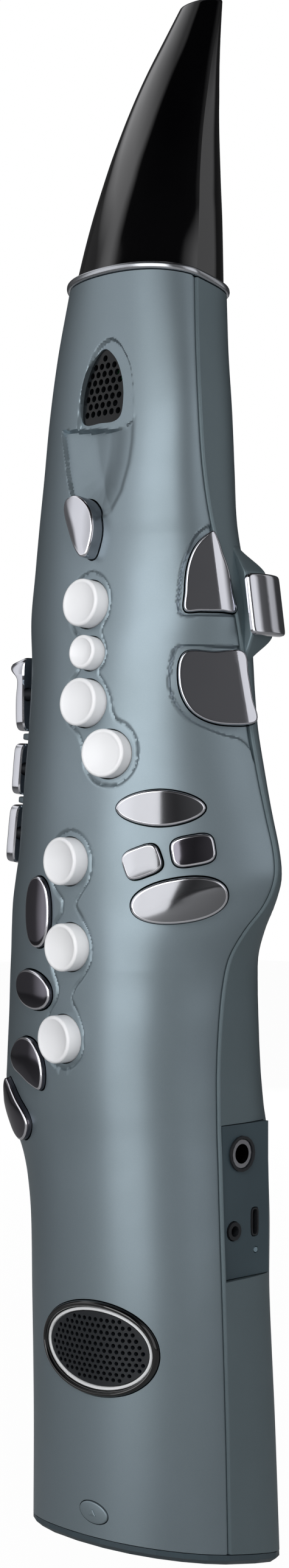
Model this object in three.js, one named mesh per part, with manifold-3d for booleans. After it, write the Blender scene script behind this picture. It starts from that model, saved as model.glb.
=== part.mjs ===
// Digital wind controller, held upright with its white keys to the front (-Y).
// X runs towards the side of the palm keys and the sockets, Y to the back where
// the thumbs lie, Z up along the body. Millimetres.
// The moulded body is lofted from one table of sections, split into a front and
// a rear shell at the seam, and every key is seated on that same surface.
import * as THREE from 'three';
import { mergeVertices } from 'three/addons/utils/BufferGeometryUtils.js';
import Module from 'manifold-3d';

const wasm = await Module();
wasm.setup();

// Driving sizes of the body
const bodyHeight = 426;
const halfWidth = 40;
const frontDepth = 32;
const rearDepth = 36;
const wall = 2.4;
const gap = 0.3;
const weld = 1e-4;
const merging = 0.01;
const runGap = 0.4;
const overrun = 4;
const baseSlope = 0.21;
const baseFade = 70;
const topSlope = 0.17;
const topFade = 60;

// Stations of the body: heights that groups of pieces keep to, as shares of its height
const stationShares = {
  vent: 0.91362, upper: 0.70423, lower: 0.46948, hook: 0.41315, strap: 0.62911, sockets: 0.27876,
  speaker: 0.16714, cover: 0.12441,
};
const station = Object.fromEntries(
  Object.entries(stationShares).map(([name, share]) => [name, share * bodyHeight]));

// Share of the height, then shares of the half width (right, left), of the rear
// depth (seam right, seam left), of the front depth and of the rear depth.
const bodyShares = [
  [0.00, 0.995, 0.985, 0.083, 0.083, 0.970, 1.080],
  [0.10, 1.002, 0.965, 0.042, 0.042, 0.970, 1.000],
  [0.20, 0.998, 0.975, 0.000, 0.000, 0.970, 0.918],
  [0.26, 0.970, 0.995, 0.000, 0.000, 0.970, 0.955],
  [0.29, 0.958, 1.050, 0.000, 0.000, 0.970, 0.955],
  [0.31, 0.950, 1.130, 0.000, 0.000, 0.970, 0.955],
  [0.33, 0.940, 1.270, 0.000, 0.000, 0.975, 0.950],
  [0.35, 0.935, 1.370, 0.000, 0.000, 0.985, 0.900],
  [0.38, 0.933, 1.355, 0.000, 0.000, 0.995, 0.850],
  [0.42, 0.960, 1.320, 0.000, 0.000, 1.000, 0.780],
  [0.45, 0.983, 1.305, 0.028, 0.000, 1.000, 0.730],
  [0.47, 1.030, 1.290, 0.056, 0.000, 1.000, 0.670],
  [0.49, 1.138, 1.280, 0.125, 0.000, 1.000, 0.600],
  [0.51, 1.263, 1.262, 0.236, 0.000, 1.000, 0.530],
  [0.53, 1.350, 1.215, 0.264, 0.000, 1.000, 0.485],
  [0.55, 1.348, 1.165, 0.264, 0.000, 0.995, 0.450],
  [0.58, 1.293, 1.130, 0.222, 0.000, 0.985, 0.420],
  [0.61, 1.238, 1.095, 0.181, 0.000, 0.970, 0.400],
  [0.65, 1.175, 1.050, 0.139, 0.000, 0.940, 0.375],
  [0.70, 1.140, 1.038, 0.083, 0.000, 0.890, 0.380],
  [0.74, 1.140, 1.065, -0.028, -0.028, 0.845, 0.400],
  [0.78, 1.040, 0.995, -0.097, -0.097, 0.800, 0.410],
  [0.81, 0.968, 0.955, -0.139, -0.139, 0.750, 0.430],
  [0.85, 0.910, 0.895, -0.167, -0.167, 0.700, 0.480],
  [0.90, 0.863, 0.840, -0.167, -0.167, 0.640, 0.500],
  [0.95, 0.788, 0.780, -0.111, -0.111, 0.580, 0.525],
  [1.00, 0.705, 0.690, -0.028, -0.028, 0.515, 0.585],
];
const column = { right: 1, left: 2, seamRight: 3, seamLeft: 4, front: 5, rear: 6 };

// Shape of the curves between the seam and the middle of the front or back
const crownRightShare = 0.64;
const crownLeftShare = 0.72;
const flankRightShare = 0.96;
const flankLeftShare = 1.02;
const flankRiseShare = 0.52;
const bulgeCrownShare = 0.5;
const bulgeFlankShare = 0.25;
const backWallShare = 1.0;
const backFlatShare = 0.92;

// Smooth value of one column of a table of shares
function tableValue(table, share, index) {
  let row = 0;
  while (row < table.length - 2 && table[row + 1][0] < share) row += 1;
  const slopeAt = (place) => {
    const before = table[Math.max(0, place - 1)];
    const after = table[Math.min(table.length - 1, place + 1)];
    return (after[index] - before[index]) / (after[0] - before[0]);
  };
  const span = table[row + 1][0] - table[row][0];
  const along = (share - table[row][0]) / span;
  const blend = along * along * (3 - 2 * along);
  const leave = along * (1 - along) * (1 - along) * span;
  const arrive = along * along * (along - 1) * span;
  return table[row][index] * (1 - blend) + table[row + 1][index] * blend
    + slopeAt(row) * leave + slopeAt(row + 1) * arrive;
}

function bodySection(height) {
  const share = THREE.MathUtils.clamp(height / bodyHeight, 0, 1);
  return {
    right: tableValue(bodyShares, share, column.right) * halfWidth,
    left: tableValue(bodyShares, share, column.left) * halfWidth,
    seamRight: tableValue(bodyShares, share, column.seamRight) * rearDepth,
    seamLeft: tableValue(bodyShares, share, column.seamLeft) * rearDepth,
    front: tableValue(bodyShares, share, column.front) * frontDepth,
    rear: tableValue(bodyShares, share, column.rear) * rearDepth,
  };
}

function bezier(points, along) {
  const back = 1 - along;
  const weights = [back ** 3, 3 * along * back ** 2, 3 * along ** 2 * back, along ** 3];
  return [0, 1].map((axis) => weights.reduce((sum, weight, at) => sum + weight * points[at][axis], 0));
}

// Point of a section's front, from the right seam (share 0) to the left (share 1)
function frontEdge(section, share) {
  const onRight = share <= 1 / 2;
  const width = onRight ? section.right : section.left;
  const seam = onRight ? section.seamRight : section.seamLeft;
  const bulge = Math.max(0, width / halfWidth - 1);
  const crown = onRight ? crownRightShare - bulgeCrownShare * bulge : crownLeftShare;
  const flank = onRight ? flankRightShare - bulgeFlankShare * bulge : flankLeftShare;
  const [x, y] = bezier([
    [width, seam],
    [width * flank, seam - flankRiseShare * (section.front + seam)],
    [width * crown, -section.front],
    [0, -section.front],
  ], onRight ? share * 2 : (1 - share) * 2);
  return [onRight ? x : -x, y];
}

// Point of a section's back, from the right seam (share 0) to the left (share 1)
function rearEdge(section, share) {
  const onRight = share <= 1 / 2;
  const width = onRight ? section.right : section.left;
  const seam = onRight ? section.seamRight : section.seamLeft;
  const [x, y] = bezier([
    [width, seam],
    [width, seam + backWallShare * (section.rear - seam)],
    [width * backFlatShare, section.rear],
    [0, section.rear],
  ], onRight ? share * 2 : (1 - share) * 2);
  return [onRight ? x : -x, y];
}

// The base and the top edge slope down to the back
function lift(height, y) {
  const atBase = Math.max(0, 1 - height / baseFade);
  const atTop = Math.max(0, 1 - Math.abs(bodyHeight - height) / topFade);
  return height - y * (baseSlope * atBase + topSlope * atTop);
}

// Moves each point of an open or closed outline inward by a distance
function inset(points, distance, closed) {
  const count = points.length;
  return points.map(([x, y], at) => {
    const before = points[closed ? (at + count - 1) % count : Math.max(0, at - 1)];
    const after = points[closed ? (at + 1) % count : Math.min(count - 1, at + 1)];
    const run = [after[0] - before[0], after[1] - before[1]];
    const size = Math.hypot(run[0], run[1]);
    return [x - run[1] / size * distance, y + run[0] / size * distance];
  });
}

// Spot on the front at a distance round the section from its middle, towards the right
const spotSteps = 96;
function frontSpot(around, up) {
  const section = bodySection(up);
  let last = frontEdge(section, 1 / 2);
  let run = 0;
  const way = around >= 0 ? -1 : 1;
  for (let step = 1; step <= spotSteps; step += 1) {
    const next = frontEdge(section, 1 / 2 + way * step / (2 * spotSteps));
    const piece = Math.hypot(next[0] - last[0], next[1] - last[1]);
    if (run + piece >= Math.abs(around)) {
      const part = (Math.abs(around) - run) / piece;
      const x = last[0] + (next[0] - last[0]) * part;
      const y = last[1] + (next[1] - last[1]) * part;
      return new THREE.Vector3(x, y, lift(up, y));
    }
    run += piece;
    last = next;
  }
  return new THREE.Vector3(last[0], last[1], lift(up, last[1]));
}
// End of the surface functions

// Spot on the back at a place across the section
function rearSpot(across, up) {
  const section = bodySection(up);
  let last = rearEdge(section, 1 / 2);
  const way = across >= 0 ? -1 : 1;
  for (let step = 1; step <= spotSteps; step += 1) {
    const next = rearEdge(section, 1 / 2 + way * step / (2 * spotSteps));
    if (Math.abs(next[0]) >= Math.abs(across)) {
      const part = (Math.abs(across) - Math.abs(last[0])) / (Math.abs(next[0]) - Math.abs(last[0]));
      const y = last[1] + (next[1] - last[1]) * part;
      return new THREE.Vector3(across, y, lift(up, y));
    }
    last = next;
  }
  return new THREE.Vector3(last[0], last[1], lift(up, last[1]));
}

// A flat place: a centre, an outward axis, and its own side and up directions
function flatPlace(centre, outward) {
  const axis = outward.clone().normalize();
  const up = new THREE.Vector3(0, 0, 1).projectOnPlane(axis).normalize();
  const side = up.clone().cross(axis);
  const at = (right, rise, out) => centre.clone().addScaledVector(side, right)
    .addScaledVector(up, rise).addScaledVector(axis, out);
  return { centre, axis, side, up, at };
}

// A place on the moulded front or back: points follow the curve of the surface
const probe = 0.5;
function surfacePlace(spot, across, height, facing) {
  const run = spot(across + probe, height).sub(spot(across - probe, height));
  const climb = spot(across, height + probe).sub(spot(across, height - probe));
  const place = flatPlace(spot(across, height), run.cross(climb).multiplyScalar(facing));
  const flatAt = place.at;
  const at = (right, rise, out) => spot(across + facing * right, height + rise)
    .addScaledVector(place.axis, out);
  return { ...place, at, flatAt };
}
const frontPlace = (around, up) => surfacePlace(frontSpot, around, up, 1);
const rearPlace = (across, up) => surfacePlace(rearSpot, across, up, -1);

// Turns the faces of a closed geometry outward and keeps its positions only
function closed(geometry) {
  const bare = new THREE.BufferGeometry();
  bare.setAttribute('position', geometry.getAttribute('position').clone());
  if (geometry.index) bare.setIndex(geometry.index.clone());
  const merged = mergeVertices(bare, weld);
  const index = merged.index.array;
  const kept = [];
  const corners = [0, 1, 2].map(() => new THREE.Vector3());
  let volume = 0;
  for (let at = 0; at < index.length; at += 3) {
    const [a, b, c] = [index[at], index[at + 1], index[at + 2]];
    if (a === b || b === c || a === c) continue;
    corners.forEach((corner, of) => corner.fromBufferAttribute(merged.getAttribute('position'), [a, b, c][of]));
    volume += corners[0].dot(corners[1].clone().cross(corners[2]));
    kept.push(a, b, c);
  }
  if (volume < 0) {
    for (let at = 0; at < kept.length; at += 3) [kept[at], kept[at + 1]] = [kept[at + 1], kept[at]];
  }
  merged.setIndex(kept);
  return merged;
}

function solid(geometry) {
  const body = closed(geometry);
  return new wasm.Manifold(new wasm.Mesh({
    numProp: 3,
    vertProperties: new Float32Array(body.getAttribute('position').array),
    triVerts: new Uint32Array(body.index.array),
  }));
}

function geometryOf(body) {
  const mesh = body.asOriginal().simplify(merging).getMesh();
  const geometry = new THREE.BufferGeometry();
  geometry.setAttribute('position', new THREE.BufferAttribute(new Float32Array(mesh.vertProperties), 3));
  geometry.setIndex(new THREE.BufferAttribute(new Uint32Array(mesh.triVerts), 1));
  return geometry;
}

const cut = (geometry, tools) => geometryOf(tools.reduce(
  (body, tool) => body.subtract(solid(tool)), solid(geometry)));
const join = (geometry, others) => geometryOf(others.reduce(
  (body, other) => body.add(solid(other)), solid(geometry)));
const within = (limit) => (geometry) => geometryOf(solid(geometry).intersect(solid(limit)));

// Skin over a row of loops. Its ends close with a fan, or the last meets the first.
function skin(loops, wrapped = false) {
  const count = loops[0].length;
  const points = loops.flat();
  const index = [];
  const rows = wrapped ? loops.length : loops.length - 1;
  for (let row = 0; row < rows; row += 1) {
    const above = (row + 1) % loops.length;
    for (let at = 0; at < count; at += 1) {
      const next = (at + 1) % count;
      const [a, b, c, d] = [row * count + at, row * count + next, above * count + next, above * count + at];
      index.push(a, b, c, a, c, d);
    }
  }
  if (!wrapped) {
    [0, loops.length - 1].forEach((row) => {
      const middle = loops[row].reduce((sum, point) => sum.add(point), new THREE.Vector3()).divideScalar(count);
      points.push(middle);
      for (let at = 0; at < count; at += 1) {
        const pair = [row * count + at, row * count + (at + 1) % count];
        if (row === 0) pair.reverse();
        index.push(...pair, points.length - 1);
      }
    });
  }
  const geometry = new THREE.BufferGeometry().setFromPoints(points);
  geometry.setIndex(index);
  return geometry;
}

// A shell between two grids of points, closed round its four edges
function sheet(outer, inner) {
  const loops = outer.map((row, at) => [...row, ...[...inner[at]].reverse()]);
  const count = outer[0].length;
  const all = loops[0].length;
  const index = [];
  for (let row = 0; row < loops.length - 1; row += 1) {
    for (let at = 0; at < all; at += 1) {
      const next = (at + 1) % all;
      const [a, b, c, d] = [row * all + at, row * all + next, (row + 1) * all + next, (row + 1) * all + at];
      index.push(a, b, c, a, c, d);
    }
  }
  [0, loops.length - 1].forEach((row) => {
    for (let at = 0; at < count - 1; at += 1) {
      const [a, b, c, d] = [at, at + 1, all - 2 - at, all - 1 - at].map((of) => row * all + of);
      index.push(...(row === 0 ? [c, b, a, d, c, a] : [a, b, c, a, c, d]));
    }
  });
  const geometry = new THREE.BufferGeometry().setFromPoints(loops.flat());
  geometry.setIndex(index);
  return geometry;
}

// Outline of an oval: a higher power squares it, a taper swells its right side
function oval(width, height, { power = 2, taper = 0, turn = 0, count = 20 } = {}) {
  const angle = THREE.MathUtils.degToRad(turn);
  return Array.from({ length: count }, (_, at) => {
    const round = at / count * Math.PI * 2;
    const [c, s] = [Math.cos(round), Math.sin(round)];
    const x = Math.sign(c) * Math.abs(c) ** (2 / power) * width / 2;
    const y = Math.sign(s) * Math.abs(s) ** (2 / power) * height / 2 * (1 + taper * c);
    return [x * Math.cos(angle) - y * Math.sin(angle), x * Math.sin(angle) + y * Math.cos(angle)];
  });
}

// Smooth closed outline through a few shares of a width and a height
function curved(width, height, shares, count) {
  const curve = new THREE.CatmullRomCurve3(
    shares.map(([x, y]) => new THREE.Vector3(x * width, y * height, 0)), true, 'centripetal');
  const outline = curve.getSpacedPoints(count).slice(0, -1).map((point) => new THREE.Vector2(point.x, point.y));
  if (THREE.ShapeUtils.isClockWise(outline)) outline.reverse();
  return outline.map((point) => [point.x, point.y]);
}

// Pad of one outline at a place: each level is an inset, a share and a height
function pad(outline, at, levels) {
  return skin(levels.map(([step, share, out]) => inset(outline, step, true)
    .map(([x, y]) => at(x * share, y * share, out))));
}

// Straight plug through a wall, with room round it
const plug = (outline, at, room, from, to) => pad(outline, at, [[-room, 1, from], [-room, 1, to]]);

function turned(centre, axis, profile, count) {
  const lathe = new THREE.LatheGeometry(profile.map(([r, y]) => new THREE.Vector2(r, y)), count);
  const turn = new THREE.Quaternion().setFromUnitVectors(new THREE.Vector3(0, 1, 0), axis.clone().normalize());
  return closed(lathe).applyQuaternion(turn).translate(centre.x, centre.y, centre.z);
}

function rod(centre, axis, radius, from, to, count) {
  return turned(centre, axis, [[0, from], [radius, from], [radius, to], [0, to]], count);
}

function block(width, depth, height, centre) {
  return new THREE.BoxGeometry(width, depth, height).translate(centre.x, centre.y, centre.z);
}

// Rows of the shells: every table height, with more where the rows lie far apart
const rowPitch = 17;
const baseHeight = 3.4;
function rowHeights(from, to) {
  const heights = [from];
  const marks = bodyShares.map(([share]) => share * bodyHeight)
    .filter((height) => height > from + probe && height < to - probe);
  [...marks, to].forEach((mark) => {
    const last = heights[heights.length - 1];
    const parts = Math.ceil((mark - last) / rowPitch);
    for (let part = 1; part <= parts; part += 1) heights.push(last + (mark - last) * part / parts);
  });
  return heights;
}

const raise = (outline, height) => outline.map(([x, y]) => new THREE.Vector3(x, y, lift(height, y)));

// One moulded half: its outer skin, and its inner skin a wall thickness inside
const columns = 12;
function halfShell(edge, thickness, shift) {
  const outer = [];
  const inner = [];
  rowHeights(baseHeight + gap, bodyHeight - gap).forEach((height) => {
    const section = bodySection(height);
    const outline = Array.from({ length: columns + 1 }, (_, at) => edge(section, at / columns));
    outline[0][1] += shift;
    outline[columns][1] += shift;
    const inside = inset(outline, thickness, false);
    inside[0] = [outline[0][0] - Math.abs(thickness), outline[0][1]];
    inside[columns] = [outline[columns][0] + Math.abs(thickness), outline[columns][1]];
    outer.push(raise(outline, height));
    inner.push(raise(inside, height));
  });
  return sheet(outer, inner);
}

// A whole section as one closed loop, moved inward by a distance
function fullLoop(section, distance) {
  const front = Array.from({ length: columns }, (_, at) => frontEdge(section, at / columns));
  const rear = Array.from({ length: columns }, (_, at) => rearEdge(section, 1 - at / columns));
  return inset([...front, ...rear].reverse(), distance, true);
}
const bodyLoop = (height, distance) => raise(fullLoop(bodySection(height), distance), height);

// Mouthpiece cap: a horn that leans back to the player and narrows to its tip
const ringHeight = 2.4;
const ringProud = 1;
const capHeight = 103;
const capHalfWidth = 27.2;
const capReach = 33;
const capWall = 2.2;
const capTop = 3;
const capFrontShare = 0.6;
const capStart = bodyHeight + ringHeight + gap;
const capShares = [
  [0.00, 0.985, 0.020, 0.620], [0.13, 0.929, 0.092, 0.645], [0.235, 0.873, 0.154, 0.672],
  [0.325, 0.815, 0.212, 0.694], [0.43, 0.750, 0.292, 0.720], [0.53, 0.686, 0.384, 0.746],
  [0.645, 0.613, 0.506, 0.790], [0.755, 0.534, 0.636, 0.840], [0.88, 0.436, 0.801, 0.915],
  [1.00, 0.335, 0.955, 1.005],
];
function capSection(height) {
  const share = THREE.MathUtils.clamp((height - capStart) / capHeight, 0, 1);
  const width = tableValue(capShares, share, 1) * capHalfWidth;
  const seam = tableValue(capShares, share, 2) * capReach;
  return {
    right: width, left: width, seamRight: seam, seamLeft: seam,
    front: width * capFrontShare - seam, rear: tableValue(capShares, share, 3) * capReach,
  };
}
const capLoop = (height, distance) => raise(fullLoop(capSection(height), distance), height);
const capRows = 8;
const capLevel = (row) => capStart + capHeight * row / capRows;
const capTopHeight = capStart + capHeight;
const capInner = Array.from({ length: capRows }, (_, row) => capLoop(capLevel(capRows - 1 - row), capWall));
const capOuter = Array.from({ length: capRows + 1 }, (_, row) => capLoop(capLevel(row), 0));
const capInnerTop = capLoop(capTopHeight - capTop, capWall);

// Keys. Places are distances round the front from its middle and up from a hand's station.
const keyTravel = 1.8;
const boardDepth = 16;
const stemCount = 8;
const whiteKey = { radius: 7.95, smallRadius: 5.6, rise: 4.7, sink: 4.5, edge: 0.7, dish: 0.8, stem: 2.2 };
const whiteKeys = [
  { hand: 'upper', around: 3.4, off: 17 }, { hand: 'upper', around: 5.4, off: 0.5, small: true },
  { hand: 'upper', around: 4.8, off: -16 }, { hand: 'upper', around: 14.9, off: -33 },
  { hand: 'lower', around: -0.9, off: 31.7 }, { hand: 'lower', around: -0.2, off: 3.3 },
  { hand: 'lower', around: -3.7, off: -27.3 },
];
const upOf = (key) => station[key.hand] + key.off;
const plateKey = { sink: 5.4, edge: 0.7, crown: 0.5 };
const teardropShares = [
  [-0.1, 0.5], [0.15, 0.4], [0.35, 0.24], [0.46, -0.02], [0.45, -0.24], [0.33, -0.48],
  [0.18, -0.5], [0.0, -0.4], [-0.26, -0.12], [-0.53, 0.3], [-0.5, 0.44], [-0.34, 0.5],
];
const leafShares = [
  [-0.53, 0.08], [-0.36, 0.36], [-0.1, 0.5], [0.2, 0.44], [0.4, 0.16], [0.47, -0.2], [0.4, -0.5],
  [0.14, -0.44], [-0.12, -0.3], [-0.42, -0.14],
];
const dropShares = [
  [-0.42, 0.5], [-0.2, 0.42], [0.1, 0.2], [0.4, -0.02], [0.5, -0.2], [0.4, -0.4], [0.16, -0.5],
  [-0.14, -0.42], [-0.36, -0.2], [-0.5, 0.1], [-0.54, 0.36],
];
const plateKeys = [
  { name: 'front_key', hand: 'upper', around: 0.4, off: 42.4, rise: 5, width: 15, height: 21, shares: teardropShares, count: 22 },
  { name: 'table_key_1', hand: 'upper', around: 33.3, off: -50.8, rise: 2, width: 30, height: 12, power: 1.8, count: 22 },
  { name: 'table_key_2', hand: 'upper', around: 27.7, off: -68.3, rise: 2.2, width: 13, height: 10, power: 3.6, turn: 20, count: 16 },
  { name: 'table_key_3', hand: 'upper', around: 44.2, off: -64.6, rise: 2.2, width: 14.4, height: 10, power: 3.6, turn: 10, count: 16 },
  { name: 'table_key_4', hand: 'upper', around: 39.8, off: -80.8, rise: 2.6, width: 32.4, height: 14.6, power: 2.2, taper: 0.06,
    turn: 8, count: 22 },
  { name: 'low_key_1', hand: 'lower', around: -16.6, off: 14.5, rise: 1.6, width: 14.2, height: 24, power: 2.3, count: 20 },
  { name: 'low_key_2', hand: 'lower', around: -19.9, off: -11.8, rise: 1.6, width: 22, height: 13, power: 2.1, turn: -10, count: 18 },
  { name: 'low_key_3', hand: 'lower', around: -23.3, off: -36.6, rise: 1.8, width: 22, height: 17, shares: leafShares, count: 20 },
  { name: 'low_key_4', hand: 'lower', around: -36, off: -52.6, rise: 3, width: 20, height: 21, shares: dropShares, count: 20 },
];
const outlineOf = (key) => (key.shares ? curved(key.width, key.height, key.shares, key.count)
  : oval(key.width, key.height, key));
const plates = plateKeys.map((key) => ({
  ...key, place: frontPlace(key.around, upOf(key)), outline: outlineOf(key),
}));
const whites = whiteKeys.map((key, at) => {
  const place = frontPlace(key.around, upOf(key));
  const radius = key.small ? whiteKey.smallRadius : whiteKey.radius;
  return { name: `white_key_${at + 1}`, place, radius, outline: oval(radius * 2, radius * 2, { count: 18 }) };
});

// The three palm keys wrap the edge between the front and the right side
const palmTurn = 42;
const palmAxis = new THREE.Vector3(
  Math.cos(THREE.MathUtils.degToRad(palmTurn)), -Math.sin(THREE.MathUtils.degToRad(palmTurn)), 0);
const palmKey = { rise: 2.6, sink: 6.5, edge: 0.6, crown: 0 };
const finShares = [
  [0.2, 0.62], [0.06, 0.55], [-0.16, 0.38], [-0.32, 0.16], [-0.42, -0.08], [-0.46, -0.37],
  [-0.2, -0.38], [0.2, -0.38], [0.5, -0.38], [0.46, -0.1], [0.4, 0.2], [0.32, 0.44],
];
const palmShares = [
  [-0.36, 0.5], [0, 0.5], [0.38, 0.5], [0.46, 0], [0.54, -0.46], [0.2, -0.52], [-0.1, -0.46],
  [-0.3, -0.32], [-0.42, -0.1], [-0.46, 0.14], [-0.44, 0.38],
];
const palms = [
  { name: 'palm_key_1', hand: 'upper', around: 47.4, off: 22.4, width: 17.5, height: 26, shares: finShares, count: 24 },
  { name: 'palm_key_3', hand: 'upper', around: 49.6, off: -11.6, width: 25.4, height: 23.4, shares: palmShares, count: 24 },
].map((key) => {
  const place = flatPlace(frontPlace(key.around, upOf(key)).centre, palmAxis);
  return { ...key, place, at: place.at, outline: outlineOf(key) };
});

// Block key on the right wall, on a boss of the rear shell
const blockKey = {
  off: 16.3, y: 7.2, width: 15, height: 19.5, thickness: 4, edge: 1.2, stem: 3, sink: 7, leanShare: 0.15,
};
const boss = { below: 19.3, above: 19.7, foot: 9, out: 2.2, near: 3.6, depth: 10.4, sunk: 3 };
const blockUp = station.upper + blockKey.off;
const wallX = bodySection(blockUp).right;
const blockPlace = flatPlace(
  new THREE.Vector3(wallX + boss.out, blockKey.y, blockUp), new THREE.Vector3(1, 0, blockKey.leanShare));

// Side keys stand off the highest line of the left wall on short stems
const sideSteps = [-1, -1 / 2, 0, 1 / 2, 1];
const sideShares = [0.8, 0.86, 0.92, 1];
const sideKey = { width: 11, ahead: 2.4, thickness: 4, stem: 2, sink: 6, edge: 0.9, standOff: 2.8 };
const sides = [
  { name: 'side_key_1', off: -10, height: 26 }, { name: 'side_key_2', off: -36.8, height: 18 },
  { name: 'side_key_3', off: -59.6, height: 20.4 },
].map((entry) => {
  const key = { ...entry, up: station.upper + entry.off };
  const half = key.height / 2;
  const slope = (bodySection(key.up + half).left - bodySection(key.up - half).left) / key.height;
  const reach = Math.max(...sideSteps.flatMap((step) => sideShares.map(
    (share) => -frontEdge(bodySection(key.up + step * half), share)[0] - slope * step * half)));
  return { ...key, place: flatPlace(
    new THREE.Vector3(-reach, -sideKey.width / 2 - sideKey.ahead, key.up), new THREE.Vector3(-1, 0, -slope)) };
});

const button = { around: 9.3, up: 12.5, width: 11.4, height: 7.6, rise: 0.5, sink: 4.6, travel: 0.8 };
const buttonPlace = frontPlace(button.around, button.up);
const buttonOutline = oval(button.width, button.height, { turn: -12, count: 18 });

// Vent with its grille in an arched recess near the top
const vent = {
  around: 2.2, up: station.vent, width: 19.6, height: 25, sink: 3.6, face: 1.9, hole: 1.3, pitch: 3.7, rim: 1.4,
  count: 26,
};
const ventPlace = frontPlace(vent.around, vent.up);
const archShares = [
  [0, 0.54], [0.24, 0.4], [0.4, 0.14], [0.46, -0.16], [0.42, -0.4], [0.3, -0.46], [0, -0.46],
  [-0.3, -0.46], [-0.42, -0.4], [-0.46, -0.16], [-0.4, 0.14], [-0.24, 0.4],
];
const ventOutline = curved(vent.width, vent.height, archShares, vent.count);

// Moulded round the vent: an arched recess above a ledge, and a scoop that runs out below it
const recess = { width: 25.5, height: 31, depth: 1.5, count: 22 };
const recessOutline = curved(recess.width, recess.height, archShares, recess.count);
const scoop = { around: 0.3, below: 13, width: 36, height: 30, edge: 0.6, depth: 1.4, count: 20 };
const scoopPlace = frontPlace(scoop.around, station.vent - scoop.below);
const scoopShares = [
  [-0.5, 0.02], [-0.25, 0.01], [0, 0], [0.25, 0], [0.46, 0.02], [0.49, -0.1], [0.48, -0.46], [0.41, -0.76],
  [0.31, -0.96], [-0.04, -1], [-0.28, -0.72], [-0.4, -0.33],
];
const scoopOutline = curved(scoop.width, scoop.height, scoopShares, scoop.count);
const scoopLevels = [
  [0, 1, overrun], [0, 1, -scoop.edge], [0, 3 / 4, -(scoop.edge + scoop.depth) / 2], [0, 1 / 3, -scoop.depth],
];

// Round the speaker: a bezel, a pale ring, the grille, and the driver behind them
const speaker = {
  around: 8.6, up: station.speaker, width: 48.4, height: 32.4, bezel: 2, ring: 1.1, sink: 2.4, proud: 0.8, grille: 1.6,
  hole: 1.5, pitch: 5, count: 28,
};
const speakerPlace = frontPlace(speaker.around, speaker.up);
const speakerOutline = oval(speaker.width, speaker.height, { taper: 0.08, turn: -2, count: speaker.count });
const driver = { radius: 11.5, back: 8, cone: 7, magnet: 7.5, depth: 6, stand: 6.4 };
const inside = (outline, [x, y], room) => outline.every(([x0, y0], at) => {
  const [x1, y1] = outline[(at + 1) % outline.length];
  return (x1 - x0) * (y - y0) - (y1 - y0) * (x - x0) > room * Math.hypot(x1 - x0, y1 - y0);
});

// Hexagonal holes of a grille, in staggered rows inside an outline
const holeCount = 6;
function grilleHoles(outline, place, size, from, to) {
  const reach = Math.max(...outline.flat().map(Math.abs));
  const rows = Math.ceil(reach / size.pitch);
  const rowStep = size.pitch * Math.sin(Math.PI / 3);
  const holes = [];
  for (let row = -rows - 1; row <= rows + 1; row += 1) {
    for (let col = -rows; col <= rows; col += 1) {
      const centre = [(col + (row % 2 ? 1 / 2 : 0)) * size.pitch, row * rowStep];
      if (!inside(outline, centre, size.hole * 2)) continue;
      const round = oval(size.hole * 2, size.hole * 2, { count: holeCount })
        .map(([x, y]) => [x + centre[0], y + centre[1]]);
      holes.push(skin([from, to].map((out) => round.map(([x, y]) => place.at(x, y, out)))));
    }
  }
  return holes;
}

// Sockets in a flat panel set in the right side
const panel = { height: 51.5, near: 1.2, far: 24.5, thickness: 2, sunk: 0.9 };
const panelX = bodySection(station.sockets).right - panel.sunk;
const sideways = new THREE.Vector3(1, 0, 0);
const panelSpot = ({ y, off }) => new THREE.Vector3(panelX, y, station.sockets + off);
const output = { y: 10.6, off: 15.65, bore: 3.3, bush: 4.7, nut: 6, proud: 1, body: 7.2, depth: 24, boreDepth: 22 };
const phones = { y: 7, off: -9.75, bore: 1.8, bush: 3.1, proud: 0.7, body: 3.8, depth: 13, boreDepth: 11 };
const usb = { y: 17.4, off: -7.75, width: 3.5, height: 9.4, rim: 0.5, depth: 8, slotDepth: 6.5, proud: 0.2 };
const lamp = { y: 17.8, off: -17.15, radius: 0.9, depth: 3, proud: 0.15 };
const board = { thickness: 1.6, width: 24, height: 43, off: 2.75 };

// The back: thumb hook, thumb rest with two octave keys, strap ring, cover, screws
const hook = { width: 15, plate: 2.4, length: 34, reach: 21, lip: 12, bar: 3.2, off: 0.7, rib: 3 };
const hookPlace = rearPlace(0, station.hook);
const strap = { plateWidth: 13, plateHeight: 24, plate: 2, inner: 6, wire: 1.7, off: 0.6 };
const strapPlace = rearPlace(0, station.strap);
const thumb = { above: 44, width: 17, height: 21, rise: 2.6, off: 0.5 };
const thumbUp = station.strap + thumb.above;
const octave = { width: 21, height: 12, rise: 3.4, sink: 5, above: 21.5, below: -21.5, stem: 2, travel: 1.6 };
const octaves = [
  { name: 'octave_key_up', place: rearPlace(0, thumbUp + octave.above) },
  { name: 'octave_key_down', place: rearPlace(0, thumbUp + octave.below) },
];
const cover = { height: 46, half: 23, thickness: 2.2, columns: 8, rows: 5 };
const battery = { width: 50, depth: 14, height: 46, below: 5, off: 4.8, power: 5 };
const batteryUp = station.cover - battery.below;
const shelf = { width: 40, thickness: 2, reach: 17 };
const backwards = new THREE.Vector3(0, 1, 0);
const screw = { head: 2.7, headHeight: 1.9, shank: 1.4, length: 12, room: 0.3, boss: 4.2, bossLength: 9 };
const screws = [
  { across: -24, upShare: 0.21596 }, { across: 24, upShare: 0.21596 }, { across: 26, upShare: 0.4507 },
  { across: -28, upShare: 0.61502 }, { across: 20, upShare: 0.85446 }, { across: -20, upShare: 0.85446 },
].map((place, at) => ({ name: `case_screw_${at + 1}`, spot: rearSpot(place.across, place.upShare * bodyHeight) }));
const screwCount = 10;

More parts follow.
